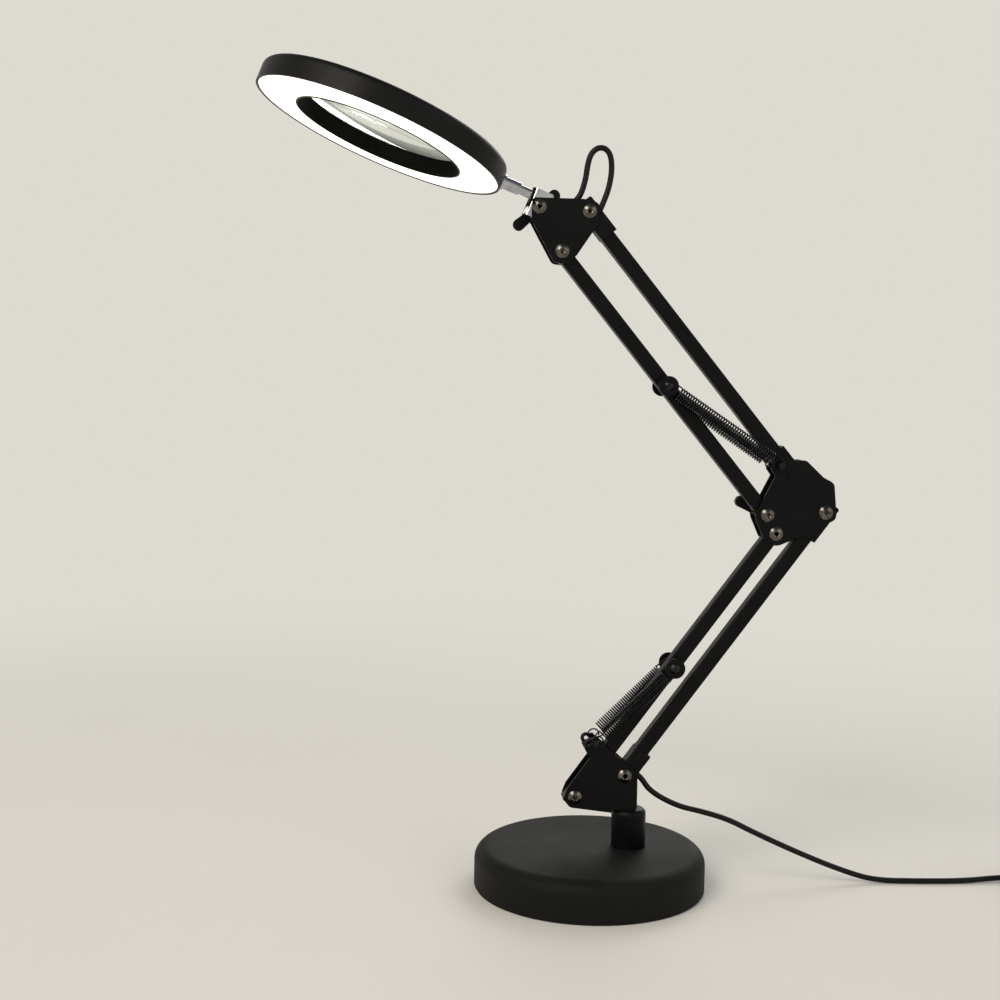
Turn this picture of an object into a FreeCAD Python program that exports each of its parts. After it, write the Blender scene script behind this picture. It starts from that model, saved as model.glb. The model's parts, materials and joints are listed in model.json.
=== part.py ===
import FreeCAD, Part
import math
import os
import Sketcher
from FreeCAD import Placement, Rotation, Vector

# Magnifier lamp: a weighted round base, a two-part arm of parallel square tubes with balance springs, and a ring-lit
# magnifying head. Millimetres. +Z is up, the origin is the centre of the base's underside, the arms lie in the XZ
# plane and the head is on the -X side.

SIZES = [
    ("base_radius", 81.4, "radius of the base cover"),
    ("base_height", 28.4, "height of the base cover's top above the table"),
    ("base_round", 9.4, "rounding of the base cover's upper edge"),
    ("base_wall", 2.5, "wall of the base cover"),
    ("pad_thick", 1.5, "anti-slip pad under the base"),
    ("floor_thick", 1.5, "steel plate that closes the base"),
    ("pad_inset", 1.0, "anti-slip pad inside the base cover's edge"),
    ("weight_gap", 3.0, "steel weight inside the start of the cover's rounding"),
    ("post_offset", 27.5, "post axis from the base centre, away from the head"),
    ("post_radius", 12.15, "radius of the post"),
    ("post_height", 27.6, "height of the post above the base"),
    ("post_round", 4.0, "rounding of the post's top edge"),
    ("bore_radius", 4.5, "radius of the bore in the post"),
    ("bore_depth", 20.0, "depth of the bore in the post"),
    ("stud_radius", 4.0, "radius of the bolt that holds the post"),
    ("stud_head", 6.5, "half width across the flats of that bolt's head"),
    ("stud_head_h", 5.3, "height of that bolt's head"),
    ("stud_gap", 1.0, "end of that bolt below the bore in the post"),
    ("web_past", 4.6, "end of the foot's web past the post axis"),
    ("web_gap", 1.0, "clearance between the foot's cheeks and the post"),
    ("cheek_drop", 2.0, "lowest corner of the foot's cheeks below the post's top"),
    ("spigot_gap", 0.5, "end of the foot's spigot over the bore's floor"),
    ("flange_thick", 1.5, "thickness of the spigot's riveted flange"),
    ("sheet", 1.5, "sheet thickness of the cheeks"),
    ("side_gap", 0.2, "clearance between a cheek and what turns inside it"),
    ("bolt_radius", 2.5, "radius of the pivot bolts"),
    ("pivot_gap", 0.06, "radial clearance of a turning fit"),
    ("hole_gap", 0.05, "radial clearance of a fixed fit"),
    ("face_gap", 0.1, "clearance under a turning knob"),
    ("head_radius", 4.9, "radius of the bolts' dome heads"),
    ("head_rim", 0.7, "straight rim of the dome heads"),
    ("head_dome", 2.0, "height of the dome over the rim"),
    ("nut_flats", 8.0, "width across the flats of the nuts"),
    ("nut_height", 4.0, "height of the nuts"),
    ("bolt_tail", 0.8, "length of a bolt past its nut"),
    ("tube_side", 10.0, "outer side of the square tubes"),
    ("tube_wall", 1.0, "wall of the square tubes"),
    ("tube_round", 1.0, "rounding of the tubes' long edges"),
    ("sleeve_wall", 1.0, "wall of the tubes' end sleeves"),
    ("sleeve_rise", 2.2, "wall of the long sleeves above and below the tube"),
    ("sleeve_reach", 21.2, "length of a long sleeve from its pivot along the tube"),
    ("sleeve_over", 7.8, "length of a long sleeve past its pivot"),
    ("short_reach", 6.6, "length of a short sleeve from its pivot along the tube"),
    ("short_over", 6.8, "length of a short sleeve's square end past its pivot"),
    ("sleeve_round", 1.6, "rounding of a sleeve's square end"),
    ("tip_wall", 0.25, "least wall between a tube's corner and a round sleeve end"),
    ("arm_length", 232.0, "pivot to pivot length of every tube"),
    ("foot_left", -39.45, "front pivot of the foot from the post axis, along X"),
    ("foot_rise", 9.4, "front pivot of the foot above the post's top"),
    ("link_low_x", 34.9, "rear pivot of the lower arm from the front one, along X"),
    ("link_low_z", 15.0, "rear pivot of the lower arm from the front one, along Z"),
    ("lower_angle", 53.57, "lower arm above the horizontal, degrees"),
    ("elbow_x", -6.3, "upper arm's lower pivot from the lower arm's front one, along X"),
    ("elbow_z", 13.0, "upper arm's lower pivot from the lower arm's front one, along Z"),
    ("link_up_x", 18.34, "upper pivot of the upper arm from the lower one, along X"),
    ("link_up_z", 27.29, "upper pivot of the upper arm from the lower one, along Z"),
    ("upper_angle", 50.6, "upper arm above the horizontal, degrees"),
    ("neck_x", -34.3, "neck pivot from the upper tube's pivot in the head bracket, along X"),
    ("neck_z", 2.3, "neck pivot from the upper tube's pivot in the head bracket, along Z"),
    ("cheek_round", 5.0, "rounding of the cheeks' corners"),
    ("ear_round", 2.4, "rounding of the cheeks' spring ears"),
    ("spring_at", 114.5, "spring bolt from the tube's lower pivot"),
    ("spring_gap", 0.3, "clearance between the spring coils and the sleeves"),
    ("wire_radius", 0.55, "radius of the spring wire"),
    ("coil_radius", 4.5, "mean radius of the spring coils"),
    ("coil_turns", 25.0, "coils of each spring"),
    ("loop_radius", 3.9, "mean radius of the springs' end loops"),
    ("loop_gap", 0.1, "clearance between an end loop and what it hangs on"),
    ("loop_side", 0.3, "clearance beside the springs' end loops"),
    ("disc_gap", 1.0, "clearance between the spring coils and the discs"),
    ("low_ear_x", 13.55, "lower springs' pegs from the foot's front pivot, along X"),
    ("low_ear_z", 39.0, "lower springs' pegs from the foot's front pivot, along Z"),
    ("up_ear_x", -10.7, "upper springs' pegs from the elbow's upper pivot, along X"),
    ("up_ear_z", 7.2, "upper springs' pegs from the elbow's upper pivot, along Z"),
    ("peg_radius", 1.4, "radius of the pegs that carry the springs' lower loops"),
    ("peg_head", 2.2, "radius of those pegs' heads"),
    ("peg_head_h", 1.0, "height of those pegs' heads"),
    ("hook_wire", 1.3, "radius of the bent hook at the foot"),
    ("hook_gap", 0.1, "clearance between the bent hook and its neighbours"),
    ("hook_bend", 2.6, "bend radius of the bent hook at the foot"),
    ("hook_turn", 223.0, "turn of the bent hook at the foot, degrees"),
    ("hook_notch", 1.5, "radius of the cheek's notch inside the bent hook"),
    ("hook_x", -4.4, "centre of the hook's bend from its peg, along X"),
    ("hook_z", -0.5, "centre of the hook's bend from its peg, along Z"),
    ("disc_radius", 7.0, "radius of the discs on the spring bolts"),
    ("disc_thick", 1.2, "thickness of the discs on the spring bolts"),
    ("bush_radius", 2.5, "radius of the spring bolts beside the tube"),
    ("bush_step", 0.5, "step of the spring bolts from there to their shank"),
    ("cap_radius", 3.8, "radius of the spring bolts' dome heads"),
    ("cap_dome", 1.8, "height of the spring bolts' dome heads"),
    ("knob_span", 39.6, "tip to tip length of a wing knob"),
    ("knob_width", 8.6, "width of a wing knob's wings"),
    ("knob_wing", 6.6, "thickness of a wing knob's wings"),
    ("knob_lift", 5.6, "height of the wings over the cheek"),
    ("knob_hub", 6.4, "radius of a wing knob's hub"),
    ("hub_drop", 1.2, "outer end of that hub below the wings"),
    ("knob_round", 2.4, "rounding of a wing knob's edges"),
    ("elbow_knob_turn", 151.0, "turn of the elbow's wing knob, degrees above +X"),
    ("head_knob_turn", 40.0, "turn of the head's wing knob, degrees above +X"),
    ("head_angle", 21.9, "fall of the stem towards the arm, degrees"),
    ("head_roll", 2.9, "roll of the head about its stem, degrees"),
    ("neck_web", 0.5, "metal between the stem and the neck's bolt"),
    ("stem_show", 20.4, "length of the stem between the ring and the swivel block"),
    ("block_front", 8.9, "swivel block from the neck pivot towards the ring"),
    ("block_back", 9.2, "swivel block from the neck pivot away from the ring"),
    ("block_low", 8.4, "swivel block below the neck pivot"),
    ("block_top", 4.7, "swivel block over the stem axis"),
    ("block_round", 4.5, "rounding of the swivel block's upright front edges"),
    ("stem_radius", 4.35, "radius of the stem beside the ring"),
    ("stem_thin", 3.3, "radius of the stem beside the swivel block"),
    ("stem_step", 12.6, "length of the thick part of the stem"),
    ("stem_depth", 14.0, "length of the stem inside the swivel block"),
    ("stem_end", 0.3, "clearance at the stem's end in the swivel block"),
    ("stem_bore", 1.2, "radius of the wire way in the stem"),
    ("collar_radius", 5.3, "radius of the stem's collar on the ring"),
    ("collar_thick", 1.5, "thickness of the stem's collar"),
    ("tenon_radius", 2.0, "radius of the stem's threaded end"),
    ("tenon_past", 1.0, "length of the stem's threaded end past its nut"),
    ("stem_nut", 3.3, "radius of the round nut on the stem"),
    ("stem_nut_h", 2.6, "height of the round nut on the stem"),
    ("ring_width", 27.1, "width of the ring housing around the lens's bore"),
    ("ring_top", 10.2, "top of the ring housing over the stem axis"),
    ("ring_round", 5.0, "rounding of the ring housing's top edge"),
    ("ring_wall", 1.8, "side wall of the ring housing"),
    ("ring_roof", 2.4, "top wall of the ring housing"),
    ("ring_rim", 0.5, "rim of the ring housing below the diffuser"),
    ("lit_drop", 5.5, "diffuser's outer lower edge below the stem axis"),
    ("lit_cone", 0.9, "fall of the diffuser towards the opening"),
    ("lit_thick", 2.0, "thickness of the diffuser"),
    ("seat_width", 2.7, "width of the lens seat"),
    ("bezel", 1.2, "wall around the opening"),
    ("seat_z", 4.6, "lens seat over the stem axis"),
    ("seat_thick", 1.8, "thickness of the lens seat"),
    ("lens_radius", 61.3, "radius of the lens"),
    ("lens_edge", 3.0, "edge thickness of the lens"),
    ("lens_curve", 350.0, "surface radius of the lens"),
    ("lens_lift", 0.6, "lens edge over its seat"),
    ("lens_gap", 0.2, "clearance around the lens"),
    ("keeper_width", 2.7, "width of the lens's retaining ring"),
    ("keeper_gap", 0.5, "lens's retaining ring over the lens edge"),
    ("keeper_height", 1.4, "height of the lens's retaining ring"),
    ("board_gap", 3.3, "clearance beside the LED board"),
    ("board_thick", 1.6, "thickness of the LED board"),
    ("cord_radius", 2.0, "radius of the cord"),
    ("cord_gap", 0.3, "clearance around the cord where it enters a tube"),
    ("cord_lift", 0.1, "clearance between the cord and the table"),
    ("cord_way", 5.5, "cord's hole in the rear tube from its lower pivot"),
    ("cord_inside", 3.0, "end of the cord in the rear tube below the tube's axis"),
    ("coil_loop", 26.0, "outer mean radius of the put-away coil"),
    ("coil_step", 5.3, "radial step of the put-away coil in each turn"),
    ("coil_layer", 4.7, "height step of the put-away coil's layers"),
    ("coil_layer_turns", 2.0, "whole turns in each layer of the put-away coil"),
    ("tie_width", 8.0, "width of the coil's tie"),
    ("tie_thick", 0.8, "thickness of the coil's tie"),
    ("tie_gap", 0.4, "clearance between the tie and the coil"),
    ("tie_round", 3.0, "rounding of the tie's bends"),
    ("plug_length", 27.0, "length of the plug's grip"),
    ("plug_width", 15.5, "width of the plug's grip"),
    ("plug_height", 8.0, "height of the plug's grip"),
    ("plug_round", 2.0, "rounding of the plug's grip"),
    ("shell_length", 18.6, "length of the plug's metal shell"),
    ("shell_width", 12.0, "width of the plug's metal shell"),
    ("shell_height", 4.5, "height of the plug's metal shell"),
    ("shell_wall", 0.4, "wall of the plug's metal shell"),
    ("tongue_past", 1.0, "tongue inside the end of the plug's shell"),
    ("tongue_height", 1.9, "height of the tongue in the plug's shell"),
]

doc = FreeCAD.newDocument("magnifier_lamp")
dims = doc.addObject("Spreadsheet::Sheet", "dims")
for row, (alias, number, note) in enumerate(SIZES, start=1):
    dims.set(f"A{row}", note)
    dims.set(f"B{row}", str(number))
    dims.setAlias(f"B{row}", alias)
doc.recompute()


class Size:
    """A length or an angle: its present value, and the expression that ties it to the sheet."""

    def __init__(self, value, text):
        self.value = float(value)
        self.text = text

    @staticmethod
    def of(other):
        return other if isinstance(other, Size) else Size(other, f"({float(other):.6f})")

    def __add__(self, other):
        other = Size.of(other)
        return Size(self.value + other.value, f"({self.text} + {other.text})")

    def __sub__(self, other):
        other = Size.of(other)
        return Size(self.value - other.value, f"({self.text} - {other.text})")

    def __mul__(self, other):
        other = Size.of(other)
        return Size(self.value * other.value, f"({self.text} * {other.text})")

    def __truediv__(self, other):
        other = Size.of(other)
        return Size(self.value / other.value, f"({self.text} / {other.text})")

    def __neg__(self):
        return Size(-self.value, f"(-1 * {self.text})")

    def __radd__(self, other):
        return Size.of(other) + self

    def __rsub__(self, other):
        return Size.of(other) - self

    def __rmul__(self, other):
        return Size.of(other) * self


def size(alias):
    return Size(dims.get(alias), f"dims.{alias}")


S = {alias: size(alias) for alias, _, _ in SIZES}
N = {alias: item.value for alias, item in S.items()}


def cosine(angle):
    return Size(math.cos(math.radians(angle.value)), f"cos({angle.text})")


def sine(angle):
    return Size(math.sin(math.radians(angle.value)), f"sin({angle.text})")


def larger(one, two):
    return Size(max(one.value, two.value), f"max({one.text}; {two.text})")


def root(amount):
    return Size(math.sqrt(amount.value), f"sqrt({amount.text})")


def bind(obj, prop, amount):
    obj.setExpression(prop, Size.of(amount).text)


# Building blocks: bodies with a polygon profile that is padded or revolved, and plain solids with booleans.

def new_body(label):
    body = doc.addObject("PartDesign::Body", label)
    body.Label = label
    return body


def profile(body, role, points, circles=()):
    """A closed polygon (and holes) on an origin plane; every corner is dimensioned from the origin."""
    plane = [item for item in body.Origin.OriginFeatures if item.Role == role][0]
    sketch = body.newObject("Sketcher::SketchObject", body.Name + "_sketch")
    sketch.AttachmentSupport = [(plane, "")]
    sketch.MapMode = "FlatFace"
    points = [(Size.of(x), Size.of(y)) for x, y in points]
    count = len(points)
    flat = [Vector(x.value, y.value, 0) for x, y in points]
    for index in range(count):
        sketch.addGeometry(Part.LineSegment(flat[index], flat[(index + 1) % count]), False)
    for index in range(count):
        sketch.addConstraint(Sketcher.Constraint("Coincident", index, 2, (index + 1) % count, 1))
    places = [(index, 1, x, y) for index, (x, y) in enumerate(points)]
    for x, y, radius in circles:
        x, y, radius = Size.of(x), Size.of(y), Size.of(radius)
        geo = sketch.addGeometry(Part.Circle(Vector(x.value, y.value, 0), Vector(0, 0, 1), radius.value), False)
        mark = sketch.addConstraint(Sketcher.Constraint("Radius", geo, radius.value))
        sketch.renameConstraint(mark, f"radius{geo}")
        sketch.setExpression(f"Constraints.radius{geo}", radius.text)
        places.append((geo, 3, x, y))
    for geo, corner, x, y in places:
        for kind, amount, axis in (("DistanceX", x, -2), ("DistanceY", y, -1)):
            if abs(amount.value) < 1e-9:
                sketch.addConstraint(Sketcher.Constraint("PointOnObject", geo, corner, axis))
                continue
            if amount.value > 0:
                mark = sketch.addConstraint(Sketcher.Constraint(kind, -1, 1, geo, corner, amount.value))
            else:
                amount = -amount
                mark = sketch.addConstraint(Sketcher.Constraint(kind, geo, corner, -1, 1, amount.value))
            sketch.renameConstraint(mark, f"{kind}{geo}")
            sketch.setExpression(f"Constraints.{kind}{geo}", amount.text)
    doc.recompute()
    return sketch


def pad(body, sketch, length):
    feature = body.newObject("PartDesign::Pad", body.Name + "_pad")
    feature.Profile = sketch
    feature.SideType = "Symmetric"
    bind(feature, "Length", length)
    doc.recompute()
    return feature


def pocket(body, sketch, length):
    before = body.Shape.Volume
    feature = body.newObject("PartDesign::Pocket", body.Name + "_pocket")
    feature.Profile = sketch
    feature.SideType = "Symmetric"
    bind(feature, "Length", length)
    doc.recompute()
    if not body.Shape.Volume < before - 1e-6:
        raise RuntimeError(f"{body.Label}: a pocket cuts nothing")
    return feature


def revolve(body, sketch, axis="V_Axis"):
    feature = body.newObject("PartDesign::Revolution", body.Name + "_turn")
    feature.Profile = sketch
    feature.ReferenceAxis = (sketch, [axis])
    feature.Angle = 360
    doc.recompute()
    return feature


def round_edges(body, radius, wanted):
    """Rounds the edges of the body's present shape for which wanted(edge) is true."""
    base = body.Tip
    names = [f"Edge{index}" for index, edge in enumerate(base.Shape.Edges, start=1) if wanted(edge)]
    if not names:
        raise RuntimeError(f"{body.Label}: no edge to round")
    feature = body.newObject("PartDesign::Fillet", body.Name + "_round")
    feature.Base = (base, names)
    bind(feature, "Radius", radius)
    doc.recompute()
    return feature


def straight(edge, direction):
    if not isinstance(edge.Curve, Part.Line):
        return False
    run = edge.Vertexes[-1].Point - edge.Vertexes[0].Point
    return run.Length > 1e-6 and abs(run.normalize().dot(direction)) > 0.999


def corner_edges(places):
    """Picks the edges along Y at the given (x, z) corners."""
    def wanted(edge):
        if not straight(edge, Vector(0, 1, 0)):
            return False
        point = edge.Vertexes[0].Point
        return any(math.hypot(point.x - Size.of(x).value, point.z - Size.of(z).value) < 1e-4 for x, z in places)
    return wanted


def circle_edges(radius, height, axis=2):
    """Picks the full circles of one radius at one height along an axis."""
    def wanted(edge):
        curve = edge.Curve
        if not isinstance(curve, Part.Circle):
            return False
        return abs(curve.Radius - radius) < 1e-4 and abs(curve.Center[axis] - height) < 1e-4
    return wanted


def cylinder(name, radius, length, x=0, y=0, z=0, along="Z", reverse=False):
    """A cylinder that starts at (x, y, z) and runs along an axis."""
    item = doc.addObject("Part::Cylinder", name)
    bind(item, "Radius", radius)
    bind(item, "Height", length)
    turns = {"Z": (Vector(1, 0, 0), 180 if reverse else 0), "Y": (Vector(1, 0, 0), 90 if reverse else -90),
             "X": (Vector(0, 1, 0), -90 if reverse else 90)}
    item.Placement = Placement(Vector(), Rotation(*turns[along]))
    for axis, amount in zip("xyz", (x, y, z)):
        bind(item, f"Placement.Base.{axis}", amount)
    return item


def block(name, length, width, height, x=0, y=0, z=0):
    """A box whose near lower left corner is at (x, y, z)."""
    item = doc.addObject("Part::Box", name)
    for prop, amount in (("Length", length), ("Width", width), ("Height", height)):
        bind(item, prop, amount)
    for axis, amount in zip("xyz", (x, y, z)):
        bind(item, f"Placement.Base.{axis}", amount)
    return item


def cut(name, base, tools):
    """The base without the tools."""
    tool = tools[0]
    if len(tools) > 1:
        tool = doc.addObject("Part::MultiFuse", name + "_tools")
        tool.Shapes = tools
    item = doc.addObject("Part::Cut", name)
    item.Base, item.Tool = base, tool
    return item


def fuse(name, shapes):
    item = doc.addObject("Part::MultiFuse", name)
    item.Shapes = shapes
    return item


NODES = {}


def node(label, item, place=None):
    item.Label = label
    if place is not None:
        item.Placement = place
    NODES[label] = item
    return item


def group(label, items):
    """Several like solids under one name."""
    item = doc.addObject("Part::Compound", label)
    item.Links = items
    return node(label, item)


# The pivots in the XZ plane, each as an (x, z) pair.

def shift(point, x, z):
    return point[0] + x, point[1] + z


POST_TOP = S["base_height"] + S["post_height"]
FOOT_L = (S["post_offset"] + S["foot_left"], POST_TOP + S["foot_rise"])
FOOT_R = shift(FOOT_L, S["link_low_x"], S["link_low_z"])
LOW_B = shift(FOOT_L, S["arm_length"] * cosine(S["lower_angle"]), S["arm_length"] * sine(S["lower_angle"]))
LOW_C = shift(LOW_B, S["link_low_x"], S["link_low_z"])
UP_A = shift(LOW_B, S["elbow_x"], S["elbow_z"])
UP_D = shift(UP_A, S["link_up_x"], S["link_up_z"])
HEAD_2 = shift(UP_A, -S["arm_length"] * cosine(S["upper_angle"]), S["arm_length"] * sine(S["upper_angle"]))
HEAD_1 = shift(HEAD_2, S["link_up_x"], S["link_up_z"])
NECK = shift(HEAD_1, S["neck_x"], S["neck_z"])
TUBE = S["tube_side"]
SLEEVE = TUBE + S["sleeve_wall"] * 2
GAP = SLEEVE + S["side_gap"] * 2                # clear width between two cheeks
HALF = GAP / 2 + S["sheet"]                     # outer face of the cheeks from the middle plane
SIDE = larger(SLEEVE / 2 + S["spring_gap"] + S["coil_radius"] + S["wire_radius"],
              HALF + (S["hook_gap"] + S["hook_wire"]) * 2 + S["wire_radius"] + S["hook_gap"])   # springs' axes
LOOP_REACH = S["disc_radius"] + S["disc_gap"] + S["wire_radius"]
RISE = S["bolt_radius"] + S["neck_web"] + S["stem_thin"]


def at(point, y=0.0):
    return Vector(point[0].value, y, point[1].value)


def along_arm(point, angle):
    """Local X from a pivot up along a tube; angle is its direction above +X."""
    return Placement(at(point), Rotation(Vector(0, 1, 0), -angle))


LOWER = N["lower_angle"]
UPPER = 180.0 - N["upper_angle"]
OVER = 1.0                                      # how far a cutting shape stands past what it cuts

# Base: cover, weight, closing plate, pad, post and the bolt that holds it.

inner_radius = S["base_radius"] - S["base_wall"]
inner_top = S["base_height"] - S["base_wall"]
plate_top = S["pad_thick"] + S["floor_thick"]

cover = new_body("base_cover")
revolve(cover, profile(cover, "XZ_Plane", [
    (0, S["base_height"]), (S["base_radius"], S["base_height"]), (S["base_radius"], S["pad_thick"]),
    (inner_radius, S["pad_thick"]), (inner_radius, inner_top), (0, inner_top)]))
round_edges(cover, S["base_round"], circle_edges(N["base_radius"], N["base_height"]))
round_edges(cover, S["base_round"] - S["base_wall"], circle_edges(inner_radius.value, inner_top.value))
hole = S["stud_radius"] + S["hole_gap"]
node("base_cover", cut("base_cover_bored", cover, [
    cylinder("base_cover_hole", hole, S["base_wall"] * 3, S["post_offset"], 0, inner_top - S["base_wall"])]))

weight_radius = S["base_radius"] - S["base_round"] - S["weight_gap"]
node("base_weight", cut("weight_bored", cylinder("weight_disc", weight_radius, inner_top - plate_top, z=plate_top), [
    cylinder("weight_hole", hole, inner_top, S["post_offset"], 0, plate_top - OVER),
    cylinder("weight_sink", S["stud_head"] * 2 / math.sqrt(3) + S["hole_gap"] * 4, S["stud_head_h"] + OVER,
             S["post_offset"], 0, plate_top - OVER)]))
node("base_plate", cylinder("closing_plate", inner_radius - S["hole_gap"], S["floor_thick"], z=S["pad_thick"]))
node("base_pad", cylinder("slip_pad", S["base_radius"] - S["pad_inset"], S["pad_thick"]))

bore_floor = POST_TOP - S["bore_depth"]
stud_top = bore_floor - S["stud_gap"]
post = new_body("post")
revolve(post, profile(post, "XZ_Plane", [
    (S["stud_radius"] + S["hole_gap"], S["base_height"]), (S["post_radius"], S["base_height"]),
    (S["post_radius"], POST_TOP), (S["bore_radius"], POST_TOP), (S["bore_radius"], bore_floor),
    (S["stud_radius"] + S["hole_gap"], bore_floor)]))
round_edges(post, S["post_round"], circle_edges(N["post_radius"], POST_TOP.value))
node("post", post, Placement(Vector(N["post_offset"], 0, 0), Rotation()))

hex_head = doc.addObject("Part::Prism", "post_bolt_head")
hex_head.Polygon = 6
bind(hex_head, "Circumradius", S["stud_head"] * 2 / math.sqrt(3))
bind(hex_head, "Height", S["stud_head_h"])
bind(hex_head, "Placement.Base.x", S["post_offset"])
bind(hex_head, "Placement.Base.z", plate_top)
node("post_bolt", fuse("post_bolt_whole", [
    hex_head, cylinder("post_bolt_shank", S["stud_radius"], stud_top - plate_top, S["post_offset"], 0, plate_top)]))


# Bolts along Y with a dome head on the near side, nuts on the far side.

def dome_bolt(name, point, length, radius, head, rim, dome, y):
    """A dome-head bolt whose head sits on the face at -y; its shank runs length to the far side."""
    ball = doc.addObject("Part::Sphere", name + "_dome")
    curve = (head * head + dome * dome) / (dome * 2)
    bind(ball, "Radius", curve)
    lift = curve - dome
    ball.setExpression("Angle1", f"asin({(lift / curve).text})")
    bind(ball, "Placement.Base.z", rim - lift)
    item = fuse(name, [ball, cylinder(name + "_rim", head, rim),
                       cylinder(name + "_shank", radius, length, reverse=True)])
    item.Placement = Placement(at(point, -y.value), Rotation(Vector(1, 0, 0), 90))
    return item


def pivot_bolt(name, point, tail):
    return dome_bolt(name, point, HALF * 2 + tail, S["bolt_radius"], S["head_radius"], S["head_rim"],
                     S["head_dome"], HALF)


NUT_TAIL = S["nut_height"] + S["bolt_tail"]


def nut(name, point):
    prism = doc.addObject("Part::Prism", name + "_hex")
    prism.Polygon = 6
    bind(prism, "Circumradius", S["nut_flats"] / math.sqrt(3))
    bind(prism, "Height", S["nut_height"])
    item = cut(name, prism, [cylinder(name + "_hole", S["bolt_radius"] + S["hole_gap"], S["nut_height"])])
    item.Placement = Placement(at(point, (HALF + S["nut_height"]).value), Rotation(Vector(1, 0, 0), 90))
    return item


# Foot bracket: two cheeks and a web in one bent sheet, on a spigot that turns in the post.

EAR_LOW = shift(FOOT_L, S["low_ear_x"], S["low_ear_z"])
web_end = S["post_offset"] + S["web_past"]
clear_left = S["post_offset"] - S["post_radius"] - S["web_gap"]
foot_outline = [
    (shift(FOOT_L, -8.3, -1.6), "cheek_round"), (shift(FOOT_L, -3.4, -7.4), "cheek_round"),
    ((clear_left, POST_TOP - S["cheek_drop"]), None), ((clear_left, POST_TOP), None),
    ((web_end, POST_TOP), "ear_round"), ((web_end, FOOT_R[1] + 2.0), "cheek_round"),
    (shift(FOOT_R, -0.6, 9.8), "ear_round"),
    (shift(FOOT_R, -7.1, 15.6), None), (shift(EAR_LOW, -1.3, 4.2), "ear_round"),
    (shift(EAR_LOW, -8.0, -3.5), "ear_round"), (shift(EAR_LOW, -3.5, -11.3), None),
    (shift(FOOT_L, -5.0, 7.0), "cheek_round")]
foot = new_body("foot_bracket")
bolt_hole = S["bolt_radius"] + S["hole_gap"]
pad(foot, profile(foot, "XZ_Plane", [place for place, _ in foot_outline], [
    (FOOT_L[0], FOOT_L[1], bolt_hole), (FOOT_R[0], FOOT_R[1], bolt_hole),
    (EAR_LOW[0], EAR_LOW[1], S["peg_radius"] + S["hole_gap"])]), HALF * 2)
for choice in ("cheek_round", "ear_round"):
    round_edges(foot, S[choice], corner_edges([place for place, turn in foot_outline if turn == choice]))
web_top = POST_TOP + S["sheet"]
reach = S["arm_length"]
pocket(foot, profile(foot, "XZ_Plane", [
    (-reach, web_top), (reach, web_top), (reach, web_top + reach), (-reach, web_top + reach)]), GAP)
pocket(foot, profile(foot, "XZ_Plane", [
    (-reach, 0), (clear_left, 0), (clear_left, web_top + reach), (-reach, web_top + reach)]), GAP)
hook_at = shift(EAR_LOW, S["hook_x"], S["hook_z"])
node("foot_bracket", cut("foot_bracket_bored", foot, [
    cylinder("foot_web_hole", S["bore_radius"], S["sheet"] * 3, S["post_offset"], 0, POST_TOP - S["sheet"]),
    cylinder("foot_hook_notch", S["hook_notch"], HALF * 4, hook_at[0], -HALF * 2, hook_at[1], along="Y")]))

spigot_radius = S["bore_radius"] - S["pivot_gap"]
spigot_low = bore_floor + S["spigot_gap"]
node("foot_spigot", fuse("spigot_whole", [
    cylinder("spigot_pin", spigot_radius, web_top - spigot_low, S["post_offset"], 0, spigot_low),
    cylinder("spigot_flange", GAP / 2 - S["side_gap"], S["flange_thick"], S["post_offset"], 0, web_top)]))

group("foot_bolts", [pivot_bolt("foot_bolt_front", FOOT_L, NUT_TAIL), pivot_bolt("foot_bolt_rear", FOOT_R, NUT_TAIL)])
group("foot_nuts", [nut("foot_nut_front", FOOT_L), nut("foot_nut_rear", FOOT_R)])


# Spring pegs: a peg through each cheek with a head; at the foot each also carries a bent hook.

def peg(name, point, side):
    """A headed peg that starts flush inside a cheek and stands out to the side (+1 far, -1 near)."""
    inside = GAP / 2
    stop = SIDE + S["wire_radius"] + S["loop_side"]
    pin = cylinder(name + "_pin", S["peg_radius"], stop - inside)
    top = cylinder(name + "_head", S["peg_head"], S["peg_head_h"], z=stop - inside)
    item = fuse(name, [pin, top])
    item.Placement = Placement(at(point, side * inside.value), Rotation(Vector(1, 0, 0), -90 * side))
    return item


def hook(name, point, side):
    """A rod from the peg to a bend that curls over to an open end, beside the cheek."""
    plane = side * (HALF + S["hook_wire"] + S["hook_gap"]).value
    centre = Vector(N["hook_x"], 0, N["hook_z"])
    bend = N["hook_bend"]
    start = Vector(0, 0, 0)
    gap = centre.Length
    lean = math.atan2(centre.z, centre.x)
    turn = math.acos(bend / gap)
    first = math.pi + lean + turn                     # where a tangent from the peg meets the bend
    angles = [first + math.radians(N["hook_turn"]) * part for part in (0.0, 0.5, 1.0)]
    spots = [centre + Vector(math.cos(angle), 0, math.sin(angle)) * bend for angle in angles]
    path = Part.Wire([Part.LineSegment(start, spots[0]).toShape(), Part.Arc(*spots).toShape()])
    ring = Part.Wire([Part.Circle(start, spots[0] - start, N["hook_wire"]).toShape()])
    rod = doc.addObject("Part::Feature", name + "_rod")
    rod.Shape = path.makePipeShell([ring], True, False)
    rod.Placement = Placement(at(point, plane), Rotation())
    return fuse(name, [rod, peg(name + "_peg", point, side)])


group("foot_hooks", [hook("foot_hook_near", EAR_LOW, -1), hook("foot_hook_far", EAR_LOW, 1)])


# Arms: square tubes with end sleeves.

PIVOT = S["bolt_radius"] + S["pivot_gap"]


def across(name, radius, x):
    """A hole along Y through a tube and its sleeves."""
    return cylinder(name, radius, SLEEVE * 2, x, -SLEEVE, 0, along="Y")


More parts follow.
